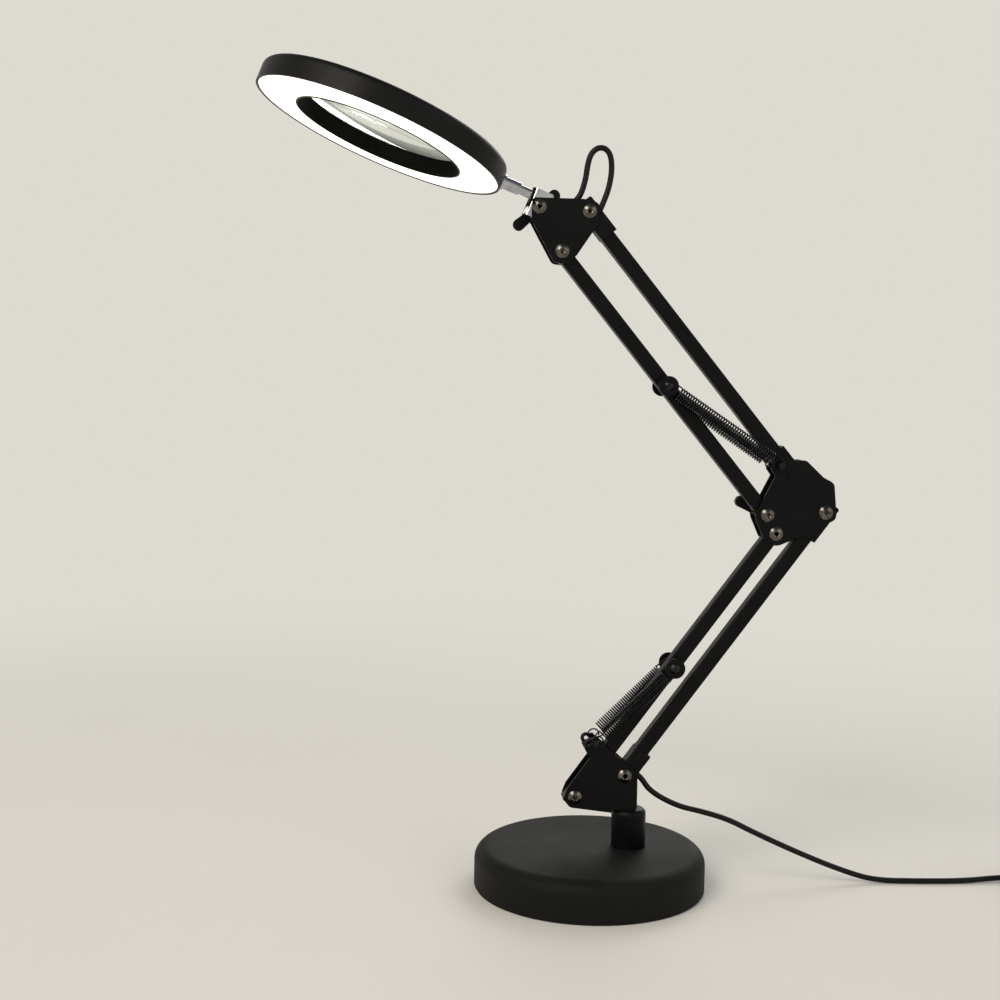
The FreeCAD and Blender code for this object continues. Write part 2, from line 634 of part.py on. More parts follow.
def tube(name, start, stop, extra):
    """A square tube from start to stop along local X, with rounded long edges and the pivots' holes."""
    body = new_body(name + "_body")
    half = TUBE / 2
    pad(body, profile(body, "XZ_Plane", [(start, -half), (stop, -half), (stop, half), (start, half)]), TUBE)
    round_edges(body, S["tube_round"], lambda edge: straight(edge, Vector(1, 0, 0)))
    inner = TUBE - S["tube_wall"] * 2
    hollow = block(name + "_hollow", stop - start + OVER * 2, inner, inner, start - OVER, -inner / 2, -inner / 2)
    return cut(name, body, [hollow, across(name + "_low", PIVOT, 0), across(name + "_high", PIVOT, S["arm_length"])]
               + extra)


def sleeve(name, x, way, long, round_end, extra):
    """An end sleeve at the pivot x; way is +1 where the tube runs to +X from it, -1 where it runs to -X."""
    half = TUBE / 2 + S["sleeve_rise"] if long else SLEEVE / 2
    length = S["sleeve_reach"] if long else S["short_reach"]
    body = new_body(name + "_body")
    over = Size.of(0) if round_end else past_pivot(long, False) + S["sleeve_wall"]
    low, high = (x - over, x + length) if way > 0 else (x - length, x + over)
    pad(body, profile(body, "XZ_Plane", [(low, -half), (high, -half), (high, half), (low, half)]), SLEEVE)
    shape = body
    if round_end:
        shape = fuse(name + "_whole", [body, cylinder(name + "_end", half, SLEEVE, x, -half, 0, along="Y")])
    else:
        end = (x - over if way > 0 else x + over).value
        round_edges(body, S["sleeve_round"], corner_edges([(end, half), (end, -half)]))
    past = past_pivot(long, round_end)
    cave = block(name + "_cave", length + past + OVER, TUBE, TUBE,
                 x - past if way > 0 else x - length - OVER, -TUBE / 2, -TUBE / 2)
    return cut(name, shape, [cave, across(name + "_hole", PIVOT, x)] + extra)


ROUND = root((SLEEVE / 2 - S["tip_wall"]) * (SLEEVE / 2 - S["tip_wall"]) - TUBE * TUBE / 4)
BOLT_WAY = S["bush_radius"] - S["bush_step"] + S["hole_gap"]


def past_pivot(long, round_end):
    """How far a tube runs past its pivot inside a sleeve."""
    if round_end:
        return ROUND
    return (S["sleeve_over"] if long else S["short_over"]) - S["sleeve_wall"]


def arm_tube(label, place, long, low_round, high_round, anchor=False, ways=()):
    """One tube and its two sleeves; ways are cord holes as (local point, local direction)."""
    span = S["arm_length"]

    def drills(name):
        items = []
        for index, (spot, aim) in enumerate(ways):
            item = doc.addObject("Part::Cylinder", f"{name}_way{index}")
            bind(item, "Radius", S["cord_radius"] + S["cord_gap"])
            bind(item, "Height", SLEEVE)
            item.Placement = Placement(spot, Rotation(Vector(0, 0, 1), aim))
            items.append(item)
        return items

    holes = drills(label)
    if anchor:
        holes.append(across(label + "_anchor", BOLT_WAY, S["spring_at"]))
    node(label + "_tube", tube(label + "_cut", -past_pivot(long, low_round), span + past_pivot(long, high_round),
                               holes), place)
    ends = [sleeve(label + "_sleeve_low", Size.of(0), 1, long, low_round, drills(label + "_low")),
            sleeve(label + "_sleeve_high", span, -1, long, high_round, drills(label + "_high"))]
    for item in ends:
        item.Placement = place
    group(label + "_sleeves", ends)


def local(place, point):
    return place.inverse().multVec(point)


# The cord's points where it leaves the tubes: out of the rear lower tube's underside, and into the upper tube's top.

place_front = along_arm(FOOT_L, LOWER)
place_rear = along_arm(FOOT_R, LOWER)
place_under = along_arm(UP_A, UPPER)
place_over = along_arm(UP_D, UPPER)

exit_start = Vector(N["cord_way"], 0, -N["cord_inside"])
exit_aim = Vector(0, 0, -1)
loop_end = at(HEAD_1) + Vector(6.2, 0, -2.8)
loop_last = at(HEAD_1) + Vector(11.9, 0, 10.1)
loop_aim = (loop_last - loop_end).normalize()
over_end = local(place_over, loop_end)
over_aim = place_over.Rotation.inverted().multVec(loop_aim)

arm_tube("lower_front", place_front, False, False, True, anchor=True)
arm_tube("lower_rear", place_rear, True, False, False, ways=[(exit_start, exit_aim)])
arm_tube("upper_lower", place_under, False, True, False, anchor=True)
arm_tube("upper_upper", place_over, True, False, False, ways=[(over_end, over_aim)])


# Spring bolts through the tubes, with a disc outside each spring's end loop.

def spring_bolt(label, place):
    disc_in = SIDE + S["wire_radius"] + S["loop_side"]
    end = disc_in + S["disc_thick"]
    spot = place.multVec(Vector(N["spring_at"], 0, 0))
    discs = []
    for side in (-1, 1):
        plate = cylinder(f"{label}_plate{side + 1}", S["disc_radius"], S["disc_thick"])
        ring = cut(f"{label}_disc{side + 1}", plate, [cylinder(f"{label}_eye{side + 1}", BOLT_WAY, S["disc_thick"])])
        ring.Placement = Placement(spot + Vector(0, side * disc_in.value, 0), Rotation(Vector(1, 0, 0), -90 * side))
        discs.append(ring)
    group(label + "_discs", discs)
    shank = cylinder(label + "_shank", BOLT_WAY - S["hole_gap"], end * 2, 0, -end, 0, along="Y")
    parts = [shank]
    for side in (-1, 1):
        bush = cylinder(f"{label}_bush{side + 1}", S["bush_radius"], disc_in - TUBE / 2,
                        0, (TUBE / 2) * side, 0, along="Y", reverse=side < 0)
        ball = doc.addObject("Part::Sphere", f"{label}_cap{side + 1}")
        curve = (S["cap_radius"] * S["cap_radius"] + S["cap_dome"] * S["cap_dome"]) / (S["cap_dome"] * 2)
        lift = curve - S["cap_dome"]
        bind(ball, "Radius", curve)
        ball.setExpression("Angle1", f"asin({(lift / curve).text})")
        ball.Placement = Placement(Vector(), Rotation(Vector(1, 0, 0), -90 * side))
        bind(ball, "Placement.Base.y", (end - lift) * side)
        parts += [bush, ball]
    node(label, fuse(label + "_whole", parts), Placement(spot, Rotation()))
    return spot


low_anchor = spring_bolt("lower_spring_bolt", place_front)
up_anchor = spring_bolt("upper_spring_bolt", place_under)


# Wound wire and cords: paths of lines and arcs, tangent to each other.

def arc_pair(start, start_way, stop, stop_way):
    """Two tangent arcs from one point and direction to another."""
    chord = stop - start
    both = start_way + stop_way
    lean = 2 * (1 - start_way.dot(stop_way))
    lead = chord.dot(both)
    if lean < 1e-9:
        reach_out = chord.dot(chord) / (2 * lead)
    else:
        reach_out = (-lead + math.sqrt(lead * lead + lean * chord.dot(chord))) / lean
    first = start + start_way * reach_out
    second = stop - stop_way * reach_out
    middle = (first + second) * 0.5

    def arc(begin, knee, end):
        mid = (begin + end) * 0.5
        rise = knee - mid
        half = (begin - mid).Length
        if rise.Length < 1e-6:
            return Part.LineSegment(begin, end).toShape()
        top = mid + rise * (half * math.tan(math.atan2(rise.Length, half) / 2) / rise.Length)
        return Part.Arc(begin, top, end).toShape()

    return [arc(start, first, middle), arc(middle, second, stop)]


def least_gap(path, radius, steps, skip):
    """The least gap of a round wire to itself, measured on points along its path."""
    points = path.discretize(Number=steps)
    pace = path.Length / (steps - 1)
    away = int(skip / pace) + 1
    least = 1e9
    cells = {}
    cell = 4 * radius + 2.0
    for index, point in enumerate(points):
        key = tuple(int(math.floor(value / cell)) for value in (point.x, point.y, point.z))
        for dx in (-1, 0, 1):
            for dy in (-1, 0, 1):
                for dz in (-1, 0, 1):
                    for other in cells.get((key[0] + dx, key[1] + dy, key[2] + dz), ()):
                        if index - other > away:
                            least = min(least, point.distanceToPoint(points[other]))
        cells.setdefault(key, []).append(index)
    return least - 2 * radius


def wire_solid(label, edges, radius):
    path = Part.Wire(edges)
    first = edges[0]
    begin = first.valueAt(first.FirstParameter)
    way = first.tangentAt(first.FirstParameter)
    if begin.distanceToPoint(edges[1].valueAt(edges[1].FirstParameter)) < 1e-6:
        raise RuntimeError(f"{label}: the path starts the wrong way round")
    ring = Part.Wire([Part.Circle(begin, way, radius).toShape()])
    solid = path.makePipeShell([ring], True, False)
    share = solid.Volume / (math.pi * radius * radius * path.Length)
    print(f"{label}: length {path.Length:.1f}, volume over section times length {share:.4f}")
    return solid, path


def spring(label, foot, anchor, side):
    """A tension spring beside a tube: an end loop around the foot's peg, the coils, an end loop around the bolt."""
    out = Vector(0, side, 0)
    foot = Vector(foot.x, side * SIDE.value, foot.z)
    anchor = Vector(anchor.x, side * SIDE.value, anchor.z)
    way = (anchor - foot).normalize()
    across_way = out.cross(way)
    ring, loop = N["coil_radius"], N["loop_radius"]
    inside = S["loop_radius"] - S["wire_radius"] - S["loop_gap"]
    low_eye = foot + way * (inside - S["peg_radius"]).value
    high_eye = anchor - way * (inside - S["bush_radius"]).value
    gap = LOOP_REACH.value
    lead = gap * 0.45
    body = (anchor - foot).Length - 2 * gap
    turns = int(round(N["coil_turns"]))
    pitch = body / turns

    def helix(angle):
        turn = angle / (2 * math.pi)
        point = foot + way * (gap + pitch * turn)
        point = point + (across_way * math.sin(angle) * -1 + out * math.cos(angle)) * ring
        tangent = way * pitch / (2 * math.pi) + (across_way * math.cos(angle) * -1 - out * math.sin(angle)) * ring
        return point, tangent.normalize()

    def loop_arc(centre, axis, begin_side, angles):
        spots = [centre + (axis * math.cos(a) + across_way * (begin_side * math.sin(a))) * loop for a in angles]
        return Part.Arc(*spots).toShape()

    edges = []
    # lower loop, from its open end round to the side that faces +across
    open_end = math.radians(-40)
    quarter = math.radians(90)
    edges.append(loop_arc(low_eye, way, 1, [open_end, open_end - quarter * 0.65, open_end - quarter * 1.3]))
    mid = open_end - quarter * 1.3
    last = -math.radians(270)
    edges.append(loop_arc(low_eye, way, 1, [mid, (mid + last) / 2, last]))
    tip = low_eye + across_way * loop
    ahead = foot + across_way * loop + way * (gap - lead)
    edges.append(Part.LineSegment(tip, ahead).toShape())
    begin, tangent = helix(0.0)
    edges += arc_pair(ahead, way, begin, tangent)
    for half in range(2 * turns):
        start, start_way = helix(math.pi * half)
        stop, stop_way = helix(math.pi * (half + 1))
        edges += arc_pair(start, start_way, stop, stop_way)
    finish, finish_way = helix(2 * math.pi * turns)
    back = anchor - across_way * loop - way * (gap - lead)
    edges += arc_pair(finish, finish_way, back, way)
    tip = high_eye - across_way * loop
    edges.append(Part.LineSegment(back, tip).toShape())
    begin_at = -math.radians(90)
    over = -math.radians(90) + quarter * 1.3
    edges.append(loop_arc(high_eye, way, 1, [begin_at, (begin_at + over) / 2, over]))
    edges.append(loop_arc(high_eye, way, 1, [over, over + quarter * 0.65, over + quarter * 1.3]))
    solid, path = wire_solid(label, edges, N["wire_radius"])
    gap_found = least_gap(path, N["wire_radius"], 6000, 6 * N["wire_radius"])
    print(f"{label}: pitch {pitch:.3f}, least gap to itself {gap_found:.3f}")
    item = doc.addObject("Part::Feature", label)
    item.Shape = solid
    return node(label, item)


EAR_UP = shift(UP_D, S["up_ear_x"], S["up_ear_z"])
spring("lower_spring_near", at(EAR_LOW), low_anchor, -1)
spring("lower_spring_far", at(EAR_LOW), low_anchor, 1)
spring("upper_spring_near", at(EAR_UP), up_anchor, -1)
spring("upper_spring_far", at(EAR_UP), up_anchor, 1)

# Elbow: two cheeks drawn from the lower arm's front pivot, with the bolts, nuts, pegs and the wing knob.


def cheek(label, outline, holes, place, side):
    """One flat cheek: a rounded polygon with holes, on the near (-1) or far (+1) side of the arm."""
    body = new_body(label)
    pad(body, profile(body, "XZ_Plane", [corner for corner, _ in outline], holes), S["sheet"])
    for choice in sorted({turn for _, turn in outline if turn}):
        round_edges(body, S[choice], corner_edges([corner for corner, turn in outline if turn == choice]))
    middle = side * (GAP / 2 + S["sheet"] / 2).value
    return node(label, body, Placement(at(place, middle), Rotation()))


b_o = (Size.of(0), Size.of(0))
a_o = shift(b_o, S["elbow_x"], S["elbow_z"])
c_o = shift(b_o, S["link_low_x"], S["link_low_z"])
d_o = shift(a_o, S["link_up_x"], S["link_up_z"])
ear_o = shift(d_o, S["up_ear_x"], S["up_ear_z"])
elbow_outline = [
    (shift(a_o, -2.95, 11.9), None), (shift(ear_o, -2.8, -7.2), None), (shift(ear_o, -6.4, -2.2), "ear_round"),
    (shift(ear_o, -2.6, 3.8), "ear_round"), (shift(d_o, 8.0, 11.2), "cheek_round"),
    (shift(d_o, 20.6, -0.6), None), (shift(c_o, 5.6, 20.6), "cheek_round"), (shift(c_o, 8.0, -4.6), "cheek_round"),
    (shift(b_o, 10.1, -5.1), None), (shift(b_o, 1.4, -8.8), "cheek_round"), (shift(b_o, -8.6, -3.6), "cheek_round"),
    (shift(a_o, -9.2, -1.0), "cheek_round")]
elbow_holes = [(b_o[0], b_o[1], bolt_hole), (a_o[0], a_o[1], bolt_hole), (c_o[0], c_o[1], bolt_hole),
               (d_o[0], d_o[1], bolt_hole), (ear_o[0], ear_o[1], S["peg_radius"] + S["hole_gap"])]
cheek("elbow_cheek_near", elbow_outline, elbow_holes, LOW_B, -1)
cheek("elbow_cheek_far", elbow_outline, elbow_holes, LOW_B, 1)

KNOB_TAIL = S["knob_lift"]
group("elbow_bolts", [pivot_bolt("elbow_bolt_front", LOW_B, NUT_TAIL), pivot_bolt("elbow_bolt_rear", LOW_C, NUT_TAIL),
                      pivot_bolt("elbow_bolt_knob", UP_A, KNOB_TAIL)])
group("elbow_nuts", [nut("elbow_nut_front", LOW_B), nut("elbow_nut_rear", LOW_C)])
rivet_head = S["head_rim"]
rivet = fuse("elbow_rivet_whole", [
    cylinder("rivet_pin", S["bolt_radius"], HALF * 2, 0, -HALF, 0, along="Y"),
    cylinder("rivet_near", S["head_radius"], rivet_head, 0, -HALF - rivet_head, 0, along="Y"),
    cylinder("rivet_far", S["head_radius"], rivet_head, 0, HALF, 0, along="Y")])
node("elbow_rivet", rivet, Placement(at(UP_D), Rotation()))
group("elbow_pegs", [peg("elbow_peg_near", EAR_UP, -1), peg("elbow_peg_far", EAR_UP, 1)])


def wing_knob(label, point, turn):
    """A wing nut: a hub on the bolt and two round-ended wings, on the far side of its cheek."""
    lift, wing = S["knob_lift"], S["knob_wing"]
    half = S["knob_width"] / 2
    arm = S["knob_span"] / 2
    waist, taper = S["knob_hub"] * 0.6, half * 0.78
    bar = new_body(label + "_bar")
    pad(bar, profile(bar, "XZ_Plane", [
        (-arm, -half), (-waist, -taper), (waist, -taper), (arm, -half), (arm, half), (waist, taper), (-waist, taper),
        (-arm, half)]), wing)
    round_edges(bar, half * 0.88, corner_edges([(arm, half), (arm, -half), (-arm, half), (-arm, -half)]))
    outer_y = wing.value / 2
    round_edges(bar, S["knob_round"], lambda edge: all(abs(v.Point.y - outer_y) < 1e-4 for v in edge.Vertexes)
                and abs(edge.CenterOfMass.y - outer_y) < 1e-4)
    hub_low = -(lift + wing / 2) + S["face_gap"]
    hub = cylinder(label + "_hub", S["knob_hub"], wing / 2 - hub_low - S["hub_drop"], 0, hub_low, 0, along="Y")
    solid = fuse(label + "_solid", [bar, hub])
    way = cylinder(label + "_way", PIVOT, lift + OVER, 0, hub_low - OVER / 2, 0, along="Y")
    item = cut(label + "_cut", solid, [way])
    middle = (HALF + lift + wing / 2).value
    return node(label, item, Placement(at(point, middle), Rotation(Vector(0, 1, 0), -turn)))


wing_knob("elbow_knob", UP_A, N["elbow_knob_turn"])

# Head bracket: two cheeks drawn from the upper arm's lower pivot.

h2 = (Size.of(0), Size.of(0))
h1 = shift(h2, S["link_up_x"], S["link_up_z"])
h3 = shift(h1, S["neck_x"], S["neck_z"])
head_outline = [
    (shift(h3, -4.9, 6.0), "ear_round"), (shift(h1, -4.0, 8.0), "cheek_round"), (shift(h1, 7.4, 5.6), "cheek_round"),
    (shift(h1, 6.4, -8.2), "cheek_round"), (shift(h2, 10.2, -2.6), "ear_round"), (shift(h2, 4.4, -8.6), "ear_round"),
    (shift(h2, -5.4, -8.0), "cheek_round"), (shift(h3, -5.2, -9.4), "ear_round")]
head_holes = [(place[0], place[1], bolt_hole) for place in (h1, h2, h3)]
cheek("head_cheek_near", head_outline, head_holes, HEAD_2, -1)
cheek("head_cheek_far", head_outline, head_holes, HEAD_2, 1)
group("head_bolts", [pivot_bolt("head_bolt_upper", HEAD_1, NUT_TAIL), pivot_bolt("head_bolt_lower", HEAD_2, NUT_TAIL),
                     pivot_bolt("head_bolt_knob", NECK, KNOB_TAIL)])
group("head_nuts", [nut("head_nut_upper", HEAD_1), nut("head_nut_lower", HEAD_2)])
wing_knob("head_knob", NECK, N["head_knob_turn"])

# Neck: a swivel block on the head bracket's third bolt. Local X runs along the stem, away from the ring.

neck_place = Placement(at(NECK), Rotation(Vector(0, 1, 0), N["head_angle"]))
swivel = new_body("neck_block_body")
block_high = RISE + S["block_top"]
pad(swivel, profile(swivel, "XZ_Plane", [
    (-S["block_front"], -S["block_low"]), (S["block_back"] * 0.62, -S["block_low"]),
    (S["block_back"], -S["block_low"] * 0.5), (S["block_back"], block_high * 0.55),
    (S["block_back"] * 0.6, block_high), (-S["block_front"], block_high)]),
    SLEEVE)
round_edges(swivel, S["block_round"], lambda edge: straight(edge, Vector(0, 0, 1))
            and edge.Vertexes[0].Point.x < -N["block_front"] + 1e-3)
node("neck_block", cut("neck_block_cut", swivel, [
    cylinder("neck_pivot_hole", PIVOT, GAP * 2, 0, -GAP, 0, along="Y"),
    cylinder("neck_stem_hole", S["stem_thin"] + S["pivot_gap"], S["stem_depth"] + S["stem_end"] + OVER,
             -S["block_front"] - OVER, 0, RISE, along="X")]), neck_place)

# Head: everything is turned about the ring's axis, local Z; the stem lies along local X.

lens_wall = S["lens_radius"] + S["lens_gap"]
ring_outer = lens_wall + S["ring_width"]
ring_reach = ring_outer + S["stem_show"] + S["block_front"]      # ring centre from the neck pivot, along the stem
axis_x = RISE * sine(S["head_angle"]) - ring_reach * cosine(S["head_angle"])
axis_z = RISE * cosine(S["head_angle"]) + ring_reach * sine(S["head_angle"])
head_place = Placement(at(shift(NECK, axis_x, axis_z)),
                       Rotation(Vector(0, 1, 0), N["head_angle"]) * Rotation(Vector(1, 0, 0), -N["head_roll"]))

opening = S["lens_radius"] - S["seat_width"]
lit_outer = ring_outer - S["ring_wall"]
lit_inner = opening + S["bezel"]
lit_low = -(S["lit_drop"] + S["lit_cone"])
housing = new_body("head_housing_body")
revolve(housing, profile(housing, "XZ_Plane", [
    (ring_outer, -(S["lit_drop"] + S["ring_rim"])), (ring_outer, S["ring_top"]), (lens_wall, S["ring_top"]),
    (lens_wall, S["seat_z"]), (opening, S["seat_z"]), (opening, lit_low - S["ring_rim"]),
    (lit_inner, lit_low - S["ring_rim"]), (lit_inner, S["seat_z"] - S["seat_thick"]),
    (lens_wall + S["ring_wall"], S["seat_z"] - S["seat_thick"]),
    (lens_wall + S["ring_wall"], S["ring_top"] - S["ring_roof"]), (lit_outer, S["ring_top"] - S["ring_roof"]),
    (lit_outer, -(S["lit_drop"] + S["ring_rim"]))]))
round_edges(housing, S["ring_round"], circle_edges(ring_outer.value, N["ring_top"]))
node("head_housing", cut("head_housing_cut", housing, [
    cylinder("head_stem_hole", S["tenon_radius"] + S["hole_gap"], S["ring_wall"] * 4, lit_outer - S["ring_wall"],
             along="X")]), head_place)

lit = new_body("diffuser")
revolve(lit, profile(lit, "XZ_Plane", [
    (lit_inner, lit_low), (lit_outer, -S["lit_drop"]), (lit_outer, S["lit_thick"] - S["lit_drop"]),
    (lit_inner, lit_low + S["lit_thick"])]))
node("diffuser", lit, head_place)

roof_low = S["ring_top"] - S["ring_roof"]
board_in, board_out = lens_wall + S["ring_wall"] + S["board_gap"], lit_outer - S["board_gap"]
board = new_body("led_board")
revolve(board, profile(board, "XZ_Plane", [
    (board_in, roof_low - S["board_thick"]), (board_out, roof_low - S["board_thick"]),
    (board_out, roof_low), (board_in, roof_low)]))
node("led_board", board, head_place)

edge_low = S["seat_z"] + S["lens_lift"]
lens_mid = edge_low + S["lens_edge"] / 2
hollow = root(S["lens_curve"] * S["lens_curve"] - S["lens_radius"] * S["lens_radius"])
faces = []
for side in (-1, 1):
    ball = doc.addObject("Part::Sphere", f"lens_face{side + 1}")
    bind(ball, "Radius", S["lens_curve"])
    bind(ball, "Placement.Base.z", lens_mid + (S["lens_edge"] / 2 - hollow) * side)
    faces.append(ball)
lens = doc.addObject("Part::MultiCommon", "lens_whole")
rim = cylinder("lens_rim", S["lens_radius"], S["lens_radius"], z=lens_mid - S["lens_radius"] / 2)
lens.Shapes = [rim] + faces
node("lens", lens, head_place)

keeper_low = edge_low + S["lens_edge"] + S["keeper_gap"]
keeper = new_body("lens_keeper")
revolve(keeper, profile(keeper, "XZ_Plane", [
    (lens_wall - S["keeper_width"], keeper_low), (lens_wall, keeper_low),
    (lens_wall, keeper_low + S["keeper_height"]), (lens_wall - S["keeper_width"], keeper_low + S["keeper_height"])]))
node("lens_keeper", keeper, head_place)

nut_in = lit_outer - S["stem_nut_h"] - S["side_gap"]
tenon_in = nut_in - S["tenon_past"]
front = ring_outer + S["stem_show"]
collar_end = ring_outer + S["collar_thick"]
stem = new_body("neck_stem")
revolve(stem, profile(stem, "XZ_Plane", [
    (tenon_in, S["stem_bore"]), (tenon_in, S["tenon_radius"]),
    (ring_outer, S["tenon_radius"]), (ring_outer, S["collar_radius"]), (collar_end, S["collar_radius"]),
    (collar_end, S["stem_radius"]), (ring_outer + S["stem_step"], S["stem_radius"]),
    (ring_outer + S["stem_step"], S["stem_thin"]), (front + S["stem_depth"], S["stem_thin"]),
    (front + S["stem_depth"], S["stem_bore"])]), "H_Axis")
node("neck_stem", stem, head_place)
node("stem_nut", cut("stem_nut_cut", cylinder("stem_nut_disc", S["stem_nut"], S["stem_nut_h"],
                                              nut_in, 0, 0, along="X"), [
    cylinder("stem_nut_hole", S["tenon_radius"] + S["hole_gap"], S["stem_nut_h"],
             nut_in, 0, 0, along="X")]), head_place)


# Cord: straight runs joined by arcs that are as large as the runs allow.

def cord_edges(label, points):
    edges = []
    here = points[0]
    radii = []
    for before, knee, after in zip(points, points[1:], points[2:]):
        back, ahead = before - knee, after - knee
        short = min(back.Length, ahead.Length)
        back.normalize()
        ahead.normalize()
        half_turn = (math.pi - math.acos(max(-1.0, min(1.0, back.dot(ahead))))) / 2
        lead = 0.45 * short
        radii.append(lead / math.tan(half_turn))
        begin, end = knee + back * lead, knee + ahead * lead
        mid = (begin + end) * 0.5
        rise = knee - mid
        half = (begin - mid).Length
        top = mid + rise * (half * math.tan(half_turn / 2) / rise.Length)
        edges.append(Part.LineSegment(here, begin).toShape())
        edges.append(Part.Arc(begin, top, end).toShape())
        here = end
    edges.append(Part.LineSegment(here, points[-1]).toShape())
    print(f"{label}: radii", " ".join(f"{radius:.1f}" for radius in radii))
    return edges


def cord(label, edges):
    solid, path = wire_solid(label, edges, N["cord_radius"])
    item = doc.addObject("Part::Feature", label)
    item.Shape = solid
    node(label, item)
    return path


# the loop between the neck and the upper tube
neck_point = at(NECK)
head_point = at(HEAD_1)
loop_points = [neck_point + Vector(x, 0, z) for x, z in ((13.2, 0.5), (21.0, 1.6), (28.6, 8.0))]
loop_points += [head_point + Vector(x, 0, z) for x, z in (
    (-2.2, 22.3), (-1.2, 31.3), (0.8, 40.0), (5.7, 44.9), (12.5, 44.9), (17.4, 40.0), (17.2, 30.0), (15.2, 19.6))]
loop_points += [loop_last, loop_end]
cord("cord_loop", cord_edges("cord_loop", loop_points))

# the free stretch from the rear tube to the table and out to the coil
table = N["cord_radius"] + N["cord_lift"]
raised = table + N["tie_thick"] + N["tie_gap"]     # the coil lies on its tie
rear_exit = place_rear.multVec(exit_start)
rear_way = place_rear.Rotation.multVec(exit_aim)
rear_point = at(FOOT_R)
join = rear_point + Vector(33.05, 0, -20.4)
exit_points = [rear_exit, rear_exit + rear_way * 8.5, rear_point + Vector(17.95, 0, -11.0),
               rear_point + Vector(27.05, 0, -17.5), join]
cord("cord_exit", cord_edges("cord_exit", exit_points))
out_way = (join - exit_points[-2]).normalize()
coil_x, coil_y = 337.0, -1.2
free_points = [join, join + out_way * 9.0]
free_points += [Vector(*point) for point in (
    (79.0, 0.6, 52.6), (99.0, 0.9, 46.6), (116.5, 0.8, 37.6), (138.5, 0.3, 27.4), (162.0, -0.3, 17.2),
    (184.0, -0.8, 8.6), (206.0, -2.2, table), (236.0, -5.0, table), (272.0, -5.6, table),
    (coil_x - 34.0, coil_y, raised), (coil_x, coil_y, raised))]
cord("cord_free", cord_edges("cord_free", free_points))

# the put-away rest: a spiral that goes in and out again in four layers and climbs where it turns back
coil_start = free_points[-1]
outer = N["coil_loop"]
centre = coil_start - Vector(0, outer, 0)
per_layer = round(N["coil_layer_turns"])
layers = 4


def coil_spot(turn):
    """The point of the coil after a number of turns."""
    left = turn
    radius, height = outer, 0.0
    for layer in range(layers):
        inward = -1 if layer % 2 == 0 else 1
        length = per_layer + (0.5 if layer == layers - 1 else 0.0)
        step = min(left, length)
        radius += inward * N["coil_step"] * step
        left -= step
        if left <= 1e-12:
            break
        climb = min(left, 0.5) / 0.5
        height += N["coil_layer"] * (3 * climb ** 2 - 2 * climb ** 3)
        left -= min(left, 0.5)
        if left <= 1e-12:
            break
    angle = 2 * math.pi * turn - math.pi / 2
    return centre + Vector(math.cos(angle) * radius, -math.sin(angle) * radius, height)


all_turns = layers * per_layer + (layers - 1) * 0.5 + 0.5
quarters = int(round(all_turns * 4))
spots, ways = [], []
for index in range(quarters + 1):
    turn = index / 4.0
    small = 1e-4
    low, high = max(0.0, turn - small), min(all_turns, turn + small)
    spots.append(coil_spot(turn))
    ways.append((coil_spot(high) - coil_spot(low)).normalize())
ways[0] = Vector(1, 0, 0)
ways[-1] = Vector(1, 0, 0)
coil_edges = []
for index in range(quarters):
    coil_edges += arc_pair(spots[index], ways[index], spots[index + 1], ways[index + 1])
coil_path = cord("cord_coil", coil_edges)
print(f"cord_coil: {all_turns} loops, least gap to itself"
      f" {least_gap(coil_path, N['cord_radius'], 3000, 6 * N['cord_radius']):.3f}")

# the tie: a strap around all the turns, on the coil's side away from its start
inner_loop = S["coil_loop"] - S["coil_step"] * per_layer - S["cord_radius"]
bow = S["tie_width"] * S["tie_width"] / (inner_loop * 8)         # rise of the inner turns across the tie
tie_in, tie_out = inner_loop - bow - S["tie_gap"], S["coil_loop"] + S["cord_radius"] + S["tie_gap"]
tie_low = -(S["cord_radius"] + S["tie_gap"])
tie_high = S["coil_layer"] * (layers - 1) - tie_low


def tie_block(name, grow, width):
    """A block across the turns, larger than the space that they need by grow on each side."""
    body = new_body(name)
    near, far, low, high = -tie_in + grow, -tie_out - grow, tie_low - grow, tie_high + grow
    pad(body, profile(body, "YZ_Plane", [(far, low), (near, low), (near, high), (far, high)]), width)
    round_edges(body, S["tie_round"] - S["tie_thick"] + grow, lambda edge: straight(edge, Vector(1, 0, 0)))
    return body


node("cord_tie", cut("cord_tie_strap", tie_block("tie_outside", S["tie_thick"], S["tie_width"]), [
    tie_block("tie_inside", Size.of(0), S["tie_width"] * 2)]), Placement(centre, Rotation()))

# the last stretch and the plug
tail_start = spots[-1]
grip_z = N["plug_height"] / 2
plug_x = tail_start.x + 92.0
plug_y = tail_start.y - 9.0
tail_points = [tail_start, tail_start + Vector(16, 0, 0), tail_start + Vector(33, -1.5, -3.6),
               Vector(tail_start.x + 52, tail_start.y - 6.0, grip_z + 2.4), Vector(tail_start.x + 73, plug_y, grip_z),
               Vector(plug_x, plug_y, grip_z)]
cord("cord_tail", cord_edges("cord_tail", tail_points))

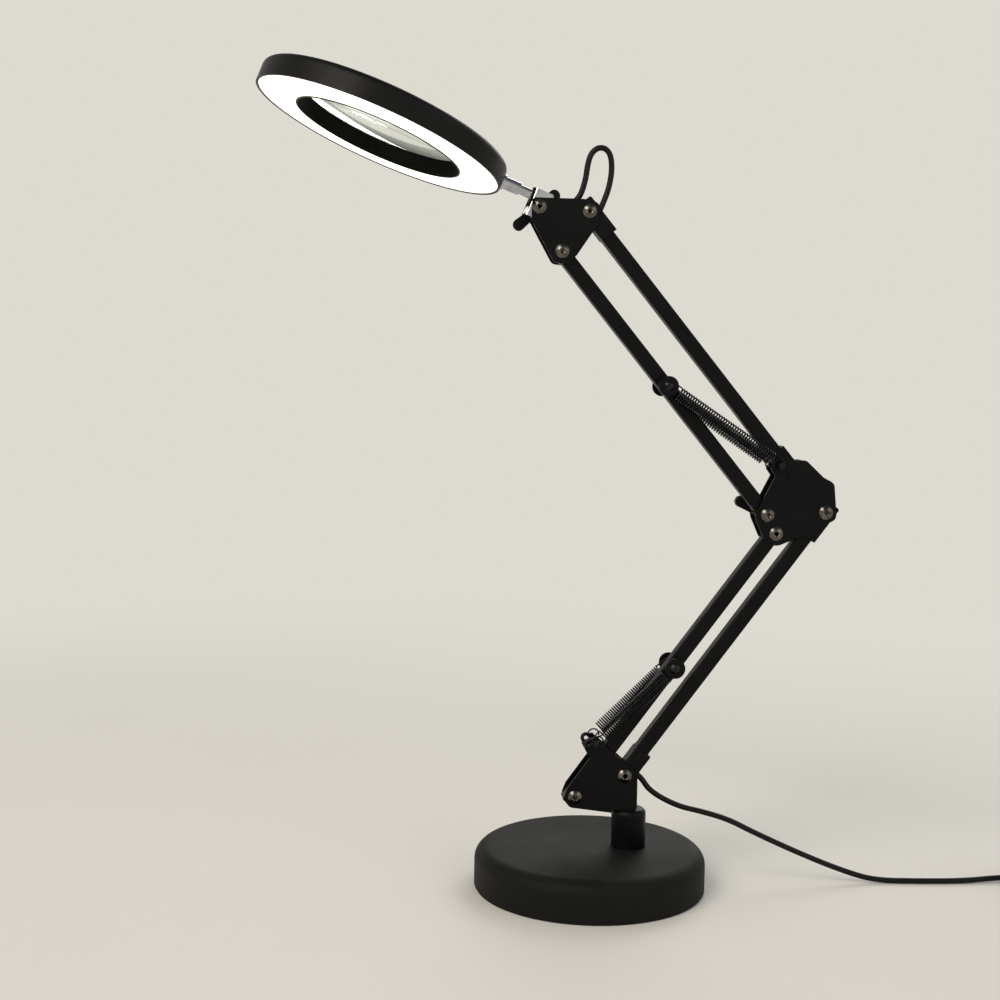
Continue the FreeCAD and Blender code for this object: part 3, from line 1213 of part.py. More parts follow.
grip = new_body("plug_grip_body")
half_high = S["plug_height"] / 2
pad(grip, profile(grip, "XZ_Plane", [
    (0, -half_high * 0.75), (S["plug_length"] * 0.3, -half_high), (S["plug_length"], -half_high),
    (S["plug_length"], half_high), (S["plug_length"] * 0.3, half_high), (0, half_high * 0.75)]), S["plug_width"])
round_edges(grip, S["plug_round"], lambda edge: straight(edge, Vector(1, 0, 0)))
plug_place = Placement(Vector(plug_x, plug_y, grip_z), Rotation())
shell_half = S["shell_width"] / 2
sunk = S["shell_wall"] * 5
node("plug_grip", cut("plug_grip_cut", grip, [block(
    "plug_socket", sunk * 2, S["shell_width"], S["shell_height"], S["plug_length"] - sunk, -shell_half,
    -S["shell_height"] / 2)]), plug_place)
shell = block("plug_shell_box", S["shell_length"] + sunk, S["shell_width"], S["shell_height"],
              S["plug_length"] - sunk, -shell_half, -S["shell_height"] / 2)
wall = S["shell_wall"]
node("plug_shell", cut("plug_shell_cut", shell, [block(
    "plug_shell_hollow", S["shell_length"] + sunk + OVER * 2, S["shell_width"] - wall * 2,
    S["shell_height"] - wall * 2, S["plug_length"] - sunk - OVER, -shell_half + wall, -S["shell_height"] / 2 + wall)]),
    plug_place)
tongue = new_body("plug_tongue")
tongue_top = S["shell_height"] / 2 - wall
pad(tongue, profile(tongue, "XZ_Plane", [
    (S["plug_length"] - sunk, tongue_top - S["tongue_height"]),
    (S["plug_length"] + S["shell_length"] - S["tongue_past"], tongue_top - S["tongue_height"]),
    (S["plug_length"] + S["shell_length"] - S["tongue_past"], tongue_top), (S["plug_length"] - sunk, tongue_top)]),
    S["shell_width"] - wall * 2)
node("plug_tongue", tongue, plug_place)

# Every object is checked before anything is written.

doc.recompute()
for item in doc.Objects:
    if "Invalid" in item.State or "Error" in item.State:
        raise RuntimeError(f"{item.Name} failed: {item.State}")
os.makedirs("parts", exist_ok=True)
for label, item in NODES.items():
    shape = item.Shape
    if shape.isNull() or not shape.isValid() or not shape.Solids:
        raise RuntimeError(f"{label} has no valid solid")
for label, item in NODES.items():
    item.Shape.exportStep(os.path.join("parts", label + ".step"))
print(f"{len(NODES)} nodes, {sum(len(item.Shape.Solids) for item in NODES.values())} solids")
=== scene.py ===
# %% [markdown]
# # A magnifier lamp on a spring-balanced arm
# The lamp stands on a weighted round base. Two pairs of parallel square tubes carry a ring light with a magnifying
# lens in its middle, and four tension springs take its weight. The solids come from a CAD model that is loaded as a
# fixed frame. This notebook gives them their finishes, and makes the pieces that need more than a CAD solid: the
# screws and nuts, the long sleeves, the springs, the cord with its tie and the plug's sleeve.

# %% Load the frame and keep its box
import json
import math

import bmesh
import bpy
from mathutils import Matrix, Vector


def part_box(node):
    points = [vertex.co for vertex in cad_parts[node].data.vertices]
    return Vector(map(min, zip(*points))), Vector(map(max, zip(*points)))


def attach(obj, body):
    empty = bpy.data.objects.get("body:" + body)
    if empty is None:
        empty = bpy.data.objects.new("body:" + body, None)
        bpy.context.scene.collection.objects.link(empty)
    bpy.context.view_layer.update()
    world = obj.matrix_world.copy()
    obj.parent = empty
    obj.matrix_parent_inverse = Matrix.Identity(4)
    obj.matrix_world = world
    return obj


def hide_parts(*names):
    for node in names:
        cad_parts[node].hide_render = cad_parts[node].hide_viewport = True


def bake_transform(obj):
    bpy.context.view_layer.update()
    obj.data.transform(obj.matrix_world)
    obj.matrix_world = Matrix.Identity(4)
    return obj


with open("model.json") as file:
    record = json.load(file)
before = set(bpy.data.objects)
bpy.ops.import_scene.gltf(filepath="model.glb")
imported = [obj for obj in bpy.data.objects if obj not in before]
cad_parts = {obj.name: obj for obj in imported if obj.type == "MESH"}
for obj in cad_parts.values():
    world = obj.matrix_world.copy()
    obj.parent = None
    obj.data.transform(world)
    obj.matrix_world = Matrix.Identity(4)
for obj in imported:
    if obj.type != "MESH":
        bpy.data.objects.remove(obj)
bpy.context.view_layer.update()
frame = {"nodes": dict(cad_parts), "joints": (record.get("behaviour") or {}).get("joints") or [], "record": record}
nodes = frame["nodes"]
pivot = {joint["name"]: Vector(joint["pos_m"]) for joint in frame["joints"]}
MM = 0.001

# %% [markdown]
# ## The camera
# The lens of the camera, its place and its tilt were worked out from the ellipses of the base and of the ring, and
# from the arm's edges. The camera stands a metre away, a little left of the lamp, and looks slightly down.

# %% Place the camera
SENSOR_WIDTH, FOCAL_LENGTH = 36.0, 52.286
CAMERA_PLACE = Vector((-0.13849, -1.00095, 0.34877))
camera_data = bpy.data.cameras.new("photo_camera")
camera_data.sensor_width = SENSOR_WIDTH
camera_data.lens = FOCAL_LENGTH
camera = bpy.data.objects.new("photo_camera", camera_data)
bpy.context.scene.collection.objects.link(camera)
right = Vector((0.997437, -0.069986, 0.014882))
ahead = Vector((0.07091, 0.994656, -0.075045))
upward = Vector((-0.00955, 0.075908, 0.997069))
camera.matrix_world = Matrix.Translation(CAMERA_PLACE) @ Matrix((right, upward, -ahead)).transposed().to_4x4()
bpy.context.scene.camera = camera
print("camera at", [round(x, 3) for x in camera.location])

# %% [markdown]
# ## Helpers for materials
# Colours are written as sRGB hex values, as a paint card gives them, and one function turns them to the linear
# values that Blender mixes. One more function adds a shader node with its settings and links. A noise or a wave has
# its scale in patterns per metre, so a size in millimetres is written as one over that size.


# %% Colour and node helpers
def hex_to_linear(code):
    channels = [int(code[i:i + 2], 16) / 255 for i in (1, 3, 5)]
    return [c / 12.92 if c <= 0.04045 else ((c + 0.055) / 1.055) ** 2.4 for c in channels] + [1.0]


def add_node(owner, kind, settings=(), inputs=(), links=(), ramp=()):
    """Adds a node: settings are its own fields, inputs its socket values, links (socket, node, output) its feeds, and
    ramp the two (position, hex) ends of a colour ramp."""
    tree = owner.node_tree
    node = tree.nodes.new(kind)
    for name, value in settings:
        setattr(node, name, value)
    for name, value in inputs:
        node.inputs[name].default_value = value
    for name, source, output in links:
        tree.links.new(source.outputs[output], node.inputs[name])
    for element, (position, code) in zip(node.color_ramp.elements if ramp else (), ramp):
        element.position, element.color = position, hex_to_linear(code)
    return node


def start_material(name, **sockets):
    """A new material with its Principled shader, whose sockets get plain values."""
    material = bpy.data.materials.new(name)
    material.use_nodes = True
    shader = material.node_tree.nodes["Principled BSDF"]
    for socket, value in sockets.items():
        shader.inputs[socket.replace("_", " ")].default_value = value
    return material, shader


def feed(owner, target, **sources):
    """Links (node, output) pairs to the target's sockets."""
    for socket, (source, output) in sources.items():
        owner.node_tree.links.new(source.outputs[output], target.inputs[socket.replace("_", " ")])


# %% [markdown]
# ## Black powder coat on steel
# The tubes, sleeves, cheeks and the post are steel with a satin black powder coat. The powder melts to a skin with a
# faint orange peel, about a millimetre from crest to crest, and a thin film of dust and handling makes the gloss
# uneven. So a fine noise makes the bump, and a slow one moves the roughness and lifts the black a little.

# %% Powder-coated steel
PEEL, FILM = 1.1 * MM, 26 * MM
powder_coat, shader = start_material("satin_black_powder_coat", Specular_IOR_Level=0.12)
where = add_node(powder_coat, "ShaderNodeTexCoord")
peel = add_node(powder_coat, "ShaderNodeTexNoise", inputs=[("Scale", 1 / PEEL), ("Detail", 2.0)],
                links=[("Vector", where, "Object")])
bump = add_node(powder_coat, "ShaderNodeBump", inputs=[("Strength", 0.2), ("Distance", 0.12 * MM)],
                links=[("Height", peel, "Fac")])
film = add_node(powder_coat, "ShaderNodeTexNoise",
                inputs=[("Scale", 1 / FILM), ("Detail", 6.0), ("Roughness", 0.62)],
                links=[("Vector", where, "Object")])
gloss = add_node(powder_coat, "ShaderNodeMapRange", links=[("Value", film, "Fac")],
                 inputs=[("From Min", 0.3), ("From Max", 0.72), ("To Min", 0.33), ("To Max", 0.5)])
tone = add_node(powder_coat, "ShaderNodeValToRGB", links=[("Fac", film, "Fac")],
                ramp=[(0.35, "#050506"), (0.75, "#0c0c0d")])
feed(powder_coat, shader, Normal=(bump, "Normal"), Roughness=(gloss, "Result"), Base_Color=(tone, "Color"))
print(powder_coat.name, "peel of", round(PEEL / MM, 1), "mm")

# %% [markdown]
# ## Textured enamel on the base
# The base's cover is sprayed with a matt black enamel that has fine grit in it, about 0.6 mm, so it breaks up
# reflections. It is a little lighter and rougher than the arm, and dust lies on it in broad patches.

# %% Textured enamel
GRIT, DUST = 0.6 * MM, 60 * MM
grit_enamel, shader = start_material("matt_black_grit_enamel", Specular_IOR_Level=0.12)
where = add_node(grit_enamel, "ShaderNodeTexCoord")
grit = add_node(grit_enamel, "ShaderNodeTexNoise", inputs=[("Scale", 1 / GRIT), ("Detail", 1.5)],
                links=[("Vector", where, "Object")])
bump = add_node(grit_enamel, "ShaderNodeBump", inputs=[("Strength", 0.36), ("Distance", 0.14 * MM)],
                links=[("Height", grit, "Fac")])
dust = add_node(grit_enamel, "ShaderNodeTexNoise",
                inputs=[("Scale", 1 / DUST), ("Detail", 7.0), ("Roughness", 0.65)],
                links=[("Vector", where, "Object")])
tone = add_node(grit_enamel, "ShaderNodeValToRGB", links=[("Fac", dust, "Fac")],
                ramp=[(0.32, "#10100e"), (0.78, "#1a1a18")])
gloss = add_node(grit_enamel, "ShaderNodeMapRange", links=[("Value", dust, "Fac")],
                 inputs=[("From Min", 0.3), ("From Max", 0.75), ("To Min", 0.55), ("To Max", 0.7)])
feed(grit_enamel, shader, Normal=(bump, "Normal"), Roughness=(gloss, "Result"), Base_Color=(tone, "Color"))
print(grit_enamel.name, "grit of", round(GRIT / MM, 1), "mm")

# %% [markdown]
# ## Moulded black ABS
# The ring's housing, the wing knobs and the plug's grip are moulded ABS. The mould is spark eroded, which leaves a
# very fine even grain, and the plastic has a soft sheen. The real grain is about 0.1 mm; it is drawn at 0.7 mm, which
# is as fine as shows in a picture of the whole lamp.

# %% Moulded ABS
GRAIN, HANDLING = 0.7 * MM, 40 * MM
moulded_abs, shader = start_material("moulded_black_abs", IOR=1.53, Specular_IOR_Level=0.14)
where = add_node(moulded_abs, "ShaderNodeTexCoord")
grain = add_node(moulded_abs, "ShaderNodeTexVoronoi", inputs=[("Scale", 1 / GRAIN)],
                 links=[("Vector", where, "Object")])
bump = add_node(moulded_abs, "ShaderNodeBump", inputs=[("Strength", 0.14), ("Distance", 0.1 * MM)],
                links=[("Height", grain, "Distance")])
handling = add_node(moulded_abs, "ShaderNodeTexNoise", inputs=[("Scale", 1 / HANDLING), ("Detail", 5.0)],
                    links=[("Vector", where, "Object")])
gloss = add_node(moulded_abs, "ShaderNodeMapRange", links=[("Value", handling, "Fac")],
                 inputs=[("From Min", 0.3), ("From Max", 0.7), ("To Min", 0.38), ("To Max", 0.52)])
tone = add_node(moulded_abs, "ShaderNodeValToRGB", links=[("Fac", handling, "Fac")],
                ramp=[(0.3, "#080808"), (0.8, "#0f0f0e")])
feed(moulded_abs, shader, Normal=(bump, "Normal"), Roughness=(gloss, "Result"), Base_Color=(tone, "Color"))
print(moulded_abs.name, "grain of", round(GRAIN / MM, 1), "mm")

# %% [markdown]
# ## Metals
# The neck is chrome plated and polished: almost a mirror, a little blue. The screws and their nuts are nickel plated,
# warmer and darker. The spring wire, the hooks, the pegs and the spring bolts are blackened steel, which still glints.
# The spigot, the plug's shell and the fastenings out of sight are zinc plated, duller and mottled. In each, one noise
# of 4 to 14 mm moves the colour and the gloss together.

# %% Chrome, nickel, blackened steel, zinc
metals = {}
for name, dark, light, low, high, patch in [
        ("polished_chrome", "#93969b", "#c2c4c8", 0.04, 0.12, 14.0),
        ("nickel_plate", "#45423d", "#736f67", 0.15, 0.28, 4.5),
        ("blackened_steel_wire", "#1a1a1b", "#343435", 0.24, 0.38, 6.0),
        ("zinc_plate", "#83878a", "#aeb1b3", 0.3, 0.46, 4.0)]:
    metal, shader = start_material(name, Metallic=1.0)
    where = add_node(metal, "ShaderNodeTexCoord")
    wipe = add_node(metal, "ShaderNodeTexNoise", links=[("Vector", where, "Object")],
                    inputs=[("Scale", 1 / (patch * MM)), ("Detail", 5.0), ("Roughness", 0.6)])
    gloss = add_node(metal, "ShaderNodeMapRange", links=[("Value", wipe, "Fac")],
                     inputs=[("From Min", 0.3), ("From Max", 0.7), ("To Min", low), ("To Max", high)])
    tone = add_node(metal, "ShaderNodeValToRGB", links=[("Fac", wipe, "Fac")], ramp=[(0.3, dark), (0.7, light)])
    feed(metal, shader, Roughness=(gloss, "Result"), Base_Color=(tone, "Color"))
    metals[name] = metal
print("metals:", ", ".join(metals))

# %% [markdown]
# ## The light and the lens
# The diffuser is an opal acrylic ring with LEDs behind it. Lit, it is an even warm white that clips in a picture. Its
# faint mottle comes from the LEDs behind. The lens is clear optical glass with a thin wiped haze.

# %% Opal diffuser and lens
MOTTLE, WIPE = 14 * MM, 22 * MM
opal, shader = start_material("lit_opal_acrylic", Roughness=0.35, IOR=1.49, Base_Color=hex_to_linear("#fbf6e8"),
                              Emission_Strength=1.5)
where = add_node(opal, "ShaderNodeTexCoord")
mottle = add_node(opal, "ShaderNodeTexNoise", inputs=[("Scale", 1 / MOTTLE), ("Detail", 2.0)],
                  links=[("Vector", where, "Object")])
glow = add_node(opal, "ShaderNodeValToRGB", links=[("Fac", mottle, "Fac")],
                ramp=[(0.25, "#fff3da"), (0.7, "#fffaf0")])
feed(opal, shader, Emission_Color=(glow, "Color"))

optical_glass, shader = start_material("clear_optical_glass", IOR=1.52, Transmission_Weight=1.0,
                                       Base_Color=hex_to_linear("#f6faf4"))
where = add_node(optical_glass, "ShaderNodeTexCoord")
wiped = add_node(optical_glass, "ShaderNodeTexNoise", inputs=[("Scale", 1 / WIPE), ("Detail", 6.0)],
                 links=[("Vector", where, "Object")])
haze = add_node(optical_glass, "ShaderNodeMapRange", links=[("Value", wiped, "Fac")],
                inputs=[("From Min", 0.45), ("From Max", 0.8), ("To Min", 0.02), ("To Max", 0.09)])
feed(optical_glass, shader, Roughness=(haze, "Result"))
print(opal.name, "and", optical_glass.name)

# %% [markdown]
# ## Cord, strap, pad, board and weight
# The cord has a soft PVC jacket with a dull skin. The tie round its coil is woven nylon, whose threads are 0.7 mm
# apart, so two crossed waves make its bump. The pad under the base is foam rubber with open cells. The LED board is
# white solder mask on glass laminate, and the weight is cast iron, both out of sight. The plug's tongue is white too
# and takes the board's finish.

# %% Soft PVC and woven nylon
SKIN, THREAD = 2.4 * MM, 0.7 * MM
WAVE_UNIT = 2 * math.pi / 20              # a wave of scale 1 has its crests this far apart
soft_pvc, shader = start_material("soft_black_pvc", IOR=1.52, Specular_IOR_Level=0.18, Roughness=0.44)
where = add_node(soft_pvc, "ShaderNodeTexCoord")
skin = add_node(soft_pvc, "ShaderNodeTexNoise", inputs=[("Scale", 1 / SKIN), ("Detail", 3.0)],
                links=[("Vector", where, "Object")])
bump = add_node(soft_pvc, "ShaderNodeBump", inputs=[("Strength", 0.2), ("Distance", 0.1 * MM)],
                links=[("Height", skin, "Fac")])
tone = add_node(soft_pvc, "ShaderNodeValToRGB", links=[("Fac", skin, "Fac")],
                ramp=[(0.3, "#080808"), (0.8, "#10100f")])
feed(soft_pvc, shader, Normal=(bump, "Normal"), Base_Color=(tone, "Color"))

woven_nylon, shader = start_material("woven_black_nylon", Roughness=0.75, Sheen_Weight=0.25)
where = add_node(woven_nylon, "ShaderNodeTexCoord")
threads = [add_node(woven_nylon, "ShaderNodeTexWave", settings=[("bands_direction", way)],
                    inputs=[("Scale", WAVE_UNIT / THREAD), ("Distortion", 0.6)],
                    links=[("Vector", where, "Object")]) for way in ("X", "DIAGONAL")]
weave = add_node(woven_nylon, "ShaderNodeMath", settings=[("operation", "MULTIPLY")])
for socket, thread in enumerate(threads):
    woven_nylon.node_tree.links.new(thread.outputs["Fac"], weave.inputs[socket])
bump = add_node(woven_nylon, "ShaderNodeBump", inputs=[("Strength", 0.5), ("Distance", 0.15 * MM)],
                links=[("Height", weave, "Value")])
tone = add_node(woven_nylon, "ShaderNodeValToRGB", links=[("Fac", weave, "Value")],
                ramp=[(0.1, "#0c0c0d"), (0.9, "#242425")])
feed(woven_nylon, shader, Normal=(bump, "Normal"), Base_Color=(tone, "Color"))
print(soft_pvc.name, "and", woven_nylon.name)

# %% Foam rubber, board, iron
plain = {}
for name, dark, light, rough, grain_mm in [
        ("black_foam_rubber", "#0c0c0c", "#1a1a1a", 0.9, 1.4), ("white_solder_mask", "#d9d9d4", "#ececea", 0.4, 3.3),
        ("raw_cast_iron", "#3a3a3a", "#565554", 0.7, 5.0)]:
    made, shader = start_material(name, Roughness=rough)
    where = add_node(made, "ShaderNodeTexCoord")
    cells = add_node(made, "ShaderNodeTexNoise", links=[("Vector", where, "Object")],
                     inputs=[("Scale", 1 / (grain_mm * MM)), ("Detail", 3.0)])
    tone = add_node(made, "ShaderNodeValToRGB", links=[("Fac", cells, "Fac")], ramp=[(0.3, dark), (0.7, light)])
    bump = add_node(made, "ShaderNodeBump", inputs=[("Strength", 0.3), ("Distance", 0.2 * MM)],
                    links=[("Height", cells, "Fac")])
    feed(made, shader, Normal=(bump, "Normal"), Base_Color=(tone, "Color"))
    plain[name] = made
print("plain finishes:", ", ".join(plain))

# %% [markdown]
# ## Finishes on the CAD nodes
# Each solid from the CAD model takes the finish of the real piece, by the name of its slot in the record.

# %% Give every node its finish
finish_of_slot = {
    "base_paint": grit_enamel, "iron": plain["raw_cast_iron"], "pad_rubber": plain["black_foam_rubber"],
    "arm_paint": powder_coat, "zinc": metals["zinc_plate"], "dark_steel": metals["blackened_steel_wire"],
    "nickel": metals["nickel_plate"], "spring_steel": metals["blackened_steel_wire"], "black_plastic": moulded_abs,
    "neck_chrome": metals["polished_chrome"], "housing_plastic": moulded_abs, "diffuser_white": opal,
    "board_white": plain["white_solder_mask"], "lens_glass": optical_glass, "cord_black": soft_pvc,
    "strap_black": woven_nylon}
slot_of = {entry["node"]: entry["material_slot"] for entry in frame["record"]["subparts"]}
for name, slot in slot_of.items():
    nodes[name].data.materials.clear()
    nodes[name].data.materials.append(finish_of_slot[slot])
print("finished", len(slot_of), "nodes in", len(set(slot_of.values())), "finishes")

# %% [markdown]
# ## The cord
# A cord is a fixed length of something flexible, so its route is one smooth NURBS line through a few chosen points.
# It leaves the rear tube of the lower arm, sags to the floor and runs out of the picture, where the rest is wound
# into a coil with the plug beside it. A shorter lead makes a loop from beside the neck into the upper tube. The
# stretches that cross a joint are meshes.

# %% Helpers for cords
CORD_RADIUS = 2.0 * MM


def cord_curve(name, route, radius):
    """A round cord along a route in millimetres, as a curve object with a clamped quadratic NURBS line."""
    data = bpy.data.curves.new(name, "CURVE")
    data.dimensions = "3D"
    data.resolution_u = 10
    spline = data.splines.new("NURBS")
    spline.points.add(len(route) - 1)
    for point, place in zip(spline.points, route):
        point.co = (*[value * MM for value in place], 1.0)
    spline.order_u = 3
    spline.use_endpoint_u = True
    data.bevel_resolution = 4
    data.use_fill_caps = True
    item = bpy.data.objects.new(name, data)
    bpy.context.scene.collection.objects.link(item)
    line = bpy.data.meshes.new_from_object(item)
    path = [vertex.co.copy() for vertex in line.vertices]
    bpy.data.meshes.remove(line)
    data.bevel_depth = radius
    data.materials.append(soft_pvc)
    return item, path


def curve_to_mesh(item):
    """Replaces a curve object by a mesh of the same name."""
    name = item.name
    mesh = bpy.data.meshes.new_from_object(item.evaluated_get(bpy.context.evaluated_depsgraph_get()))
    bpy.data.objects.remove(item)
    made = bpy.data.objects.new(name, mesh)
    bpy.context.scene.collection.objects.link(made)
    for polygon in mesh.polygons:
        polygon.use_smooth = True
    return made


def path_length(path):
    return sum((b - a).length for a, b in zip(path, path[1:]))


def around(centre, steps):
    """Millimetre points at steps (x, z) from a pivot given in metres."""
    return [(centre.x / MM + x, 0.0, centre.z / MM + z) for x, z in steps]


# %% The loop at the head
loop_route = around(pivot["head_tilt"], [(13.2, 0.5), (21.0, 1.6), (28.6, 8.0)])
loop_route += around(pivot["head_level"], [
    (-2.2, 22.3), (-1.2, 31.3), (0.8, 39.2), (5.4, 43.7), (10.8, 43.7), (14.6, 39.4), (15.8, 30.5), (14.6, 20.0),
    (11.8, 10.1), (6.2, -2.8)])
loop_curve, loop_path = cord_curve("head_lead", loop_route, CORD_RADIUS)
head_lead = curve_to_mesh(loop_curve)
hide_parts("cord_loop")
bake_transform(head_lead)
print("head lead", round(path_length(loop_path), 4), "m")

# %% The stretch at the foot
HOLE_UP, HOLE_OUT, KNEE_OUT = 5.5, 3.0, 8.5
rear = pivot["lower_rear_pivot"]
tube_way = (pivot["elbow_level"] - pivot["lower_arm"]).normalized()
out_way = Vector((tube_way.z, 0.0, -tube_way.x))
hole = rear / MM + tube_way * HOLE_UP + out_way * HOLE_OUT
knee = hole + out_way * KNEE_OUT
exit_route = [tuple(hole), tuple(knee)] + around(rear, [(17.95, -11.0), (27.05, -17.5), (33.05, -20.4)])
exit_curve, exit_path = cord_curve("foot_lead", exit_route, CORD_RADIUS)
foot_lead = curve_to_mesh(exit_curve)
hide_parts("cord_exit")
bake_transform(foot_lead)
print("foot lead", round(path_length(exit_path), 4), "m")

# %% The stretch to the floor and out of the picture
LYING, RAISED = 2.1, 3.3                  # height of the cord's middle on the floor, and on the tie
COIL_X, COIL_Y = 337.0, -1.2
STRAIGHT, RUN_IN = 9.0, 34.0              # straight on from the foot, and into the coil
join = exit_route[-1]
lead_way = (Vector(join) - Vector(exit_route[-2])).normalized()
free_route = [join, tuple(Vector(join) + lead_way * STRAIGHT), (79.0, 0.6, 52.6), (99.0, 0.9, 46.6), (116.5, 0.8, 37.6),
              (138.5, 0.3, 27.4), (162.0, -0.3, 17.2), (184.0, -0.8, 8.6), (206.0, -2.2, LYING), (236.0, -5.0, LYING),
              (272.0, -5.6, LYING), (COIL_X - RUN_IN, COIL_Y, RAISED), (COIL_X, COIL_Y, RAISED)]
free_curve, free_path = cord_curve("table_lead", free_route, CORD_RADIUS)
table_lead = curve_to_mesh(free_curve)
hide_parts("cord_free")
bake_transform(table_lead)
print("table lead", round(path_length(free_path), 4), "m")

# %% [markdown]
# ## Stacks of rings
# Turned and hexagonal things, such as screws, nuts and sleeves, are stacks of rings about one axis. Each ring is a
# circle with a number of sides, and bridging each ring to the next makes the skin. Six sides next to thirty-six make
# the chamfer of a nut or the mouth of a hexagon socket, which a spun profile couldn't.

# %% Helpers for stacks
SKIN_CORNERS = 4                          # a face with more corners than this closes an end


def add_ring(form, sides, radius, height):
    """A ring of edges round the Z axis, in millimetres."""
    made = bmesh.ops.create_circle(form, segments=sides, radius=radius * MM,
                                   matrix=Matrix.Translation((0.0, 0.0, height * MM)))
    return list({edge for vert in made["verts"] for edge in vert.link_edges})


def stack_rings(form, rings, bored):
    """Bridges rings (sides, radius, height) from first to last; bored joins the last to the first, else both close."""
    loops = [add_ring(form, *ring) for ring in rings]
    for low, high in zip(loops, loops[1:] + (loops[:1] if bored else [])):
        bmesh.ops.bridge_loops(form, edges=low + high)
    for end in () if bored else (loops[0], loops[-1]):
        bmesh.ops.edgeloop_fill(form, edges=end)
    bmesh.ops.recalc_face_normals(form, faces=form.faces)


def finish_piece(name, form, material, sharp=32.0):
    """Turns a bmesh into an object at the origin; edges steeper than the sharp angle and closed ends stay crisp."""
    mesh = bpy.data.meshes.new(name)
    form.to_mesh(mesh)
    form.free()
    for polygon in mesh.polygons:
        polygon.use_smooth = polygon.loop_total <= SKIN_CORNERS
    mesh.set_sharp_from_angle(angle=math.radians(sharp))
    mesh.materials.append(material)
    piece = bpy.data.objects.new(name, mesh)
    bpy.context.scene.collection.objects.link(piece)
    print(name, len(mesh.polygons), "faces")
    return piece


def place_stacks(name, material, stacks, bored=False):
    """One piece of several stacks, each (rings, place, turn about its axis, +1 or -1 for the way along Y it faces)."""
    whole = bmesh.new()
    for rings, place, turn, facing in stacks:
        single = bmesh.new()
        stack_rings(single, rings, bored)
        stand = Matrix.Rotation(-facing * math.pi / 2, 4, "X") @ Matrix.Rotation(math.radians(turn), 4, "Z")
        bmesh.ops.transform(single, matrix=Matrix.Translation(place) @ stand, verts=single.verts)
        part = bpy.data.meshes.new(name + "_part")
        single.to_mesh(part)
        single.free()
        whole.from_mesh(part)
        bpy.data.meshes.remove(part)
    return finish_piece(name, whole, material)


# %% [markdown]
# ## The socket screws
# Every pivot has a button-head screw with a hexagon socket, apart from a flush rivet in the elbow. The head is a low
# dome of 9.8 mm, and its socket makes the dark dot that is seen in the middle of each. The tip has a chamfer and a few
# turns of thread, drawn as ridges.

# %% The shape of a screw
HEAD, RIM, DOME, SHANK, SIDES, HEXAGON = 4.9, 0.7, 2.0, 2.5, 36, 6
TIP, TIP_CHAMFER, THREAD_FROM, THREAD_STEP, THREAD_DEPTH, THREAD_RINGS = 1.7, 0.7, 0.8, 0.4, 0.35, 13
EDGE, EDGE_RISE = 0.3, 0.2                # chamfer under the head
SOCKET, SOCKET_MOUTH, SOCKET_FLOOR = 1.73, 2.1, -1.2
DRILL, DRILL_FLOOR = 0.5, -1.7
CHEEK = 7.7                               # from the middle of the arm to a cheek's outer face
NUT_LENGTH, KNOB_LENGTH = 20.2, 21.0      # screws that end in a nut, and in a knob
dome_curve = (HEAD ** 2 + DOME ** 2) / (2 * DOME)


def screw_rings(length):
    """The rings of a screw from its tip to the floor of its socket; the head's underside is at height 0."""
    ridges = [(SIDES, SHANK - (THREAD_DEPTH if i % 2 else 0.0), THREAD_FROM + i * THREAD_STEP - length)
              for i in range(THREAD_RINGS)]
    dome = [(SIDES, radius, RIM + DOME - dome_curve + math.sqrt(dome_curve ** 2 - radius ** 2))
            for radius in (HEAD, 4.6, 4.1, 3.4, 2.7, 2.1)]
    socket = [(HEXAGON, SOCKET, SOCKET_MOUTH), (HEXAGON, SOCKET, SOCKET_FLOOR), (HEXAGON, DRILL, DRILL_FLOOR)]
    return ([(SIDES, TIP, -length), (SIDES, SHANK, TIP_CHAMFER - length)] + ridges
            + [(SIDES, SHANK, 0.0), (SIDES, HEAD - EDGE, 0.0), (SIDES, HEAD, EDGE_RISE)] + dome + socket)


# %% Screws in the foot, the elbow and the head bracket
front, rear_low, front_high = pivot["lower_arm"], pivot["lower_rear_pivot"], pivot["elbow_level"]
rear_high = front_high + rear_low - front
under, over, over_high, tilt = (pivot[name] for name in ("upper_lower_pivot", "upper_arm", "head_level", "head_tilt"))
under_high = over_high + under - over
near_face, far_face = Vector((0.0, -CHEEK * MM, 0.0)), Vector((0.0, CHEEK * MM, 0.0))
for name, stands_for, body, spots in [
        ("foot_socket_screws", "foot_bolts", "foot", [(front, NUT_LENGTH, 11), (rear_low, NUT_LENGTH, 38)]),
        ("elbow_socket_screws", "elbow_bolts", "elbow",
         [(front_high, NUT_LENGTH, 52), (rear_high, NUT_LENGTH, 24), (under, KNOB_LENGTH, 6)]),
        ("head_socket_screws", "head_bolts", "head_bracket",
         [(over_high, NUT_LENGTH, 31), (under_high, NUT_LENGTH, 17), (tilt, KNOB_LENGTH, 46)])]:
    screws = place_stacks(name, finish_of_slot[slot_of[stands_for]], [
        (screw_rings(length), spot + near_face, turn, -1) for spot, length, turn in spots])
    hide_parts(stands_for)
    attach(screws, body)

# %% [markdown]
# ## The lock nuts
# Behind the cheeks the screws end in lock nuts: a hexagon of 8 mm, a shoulder, and a round collar that holds a nylon
# ring. The stack is bored, so the last ring joins the first.

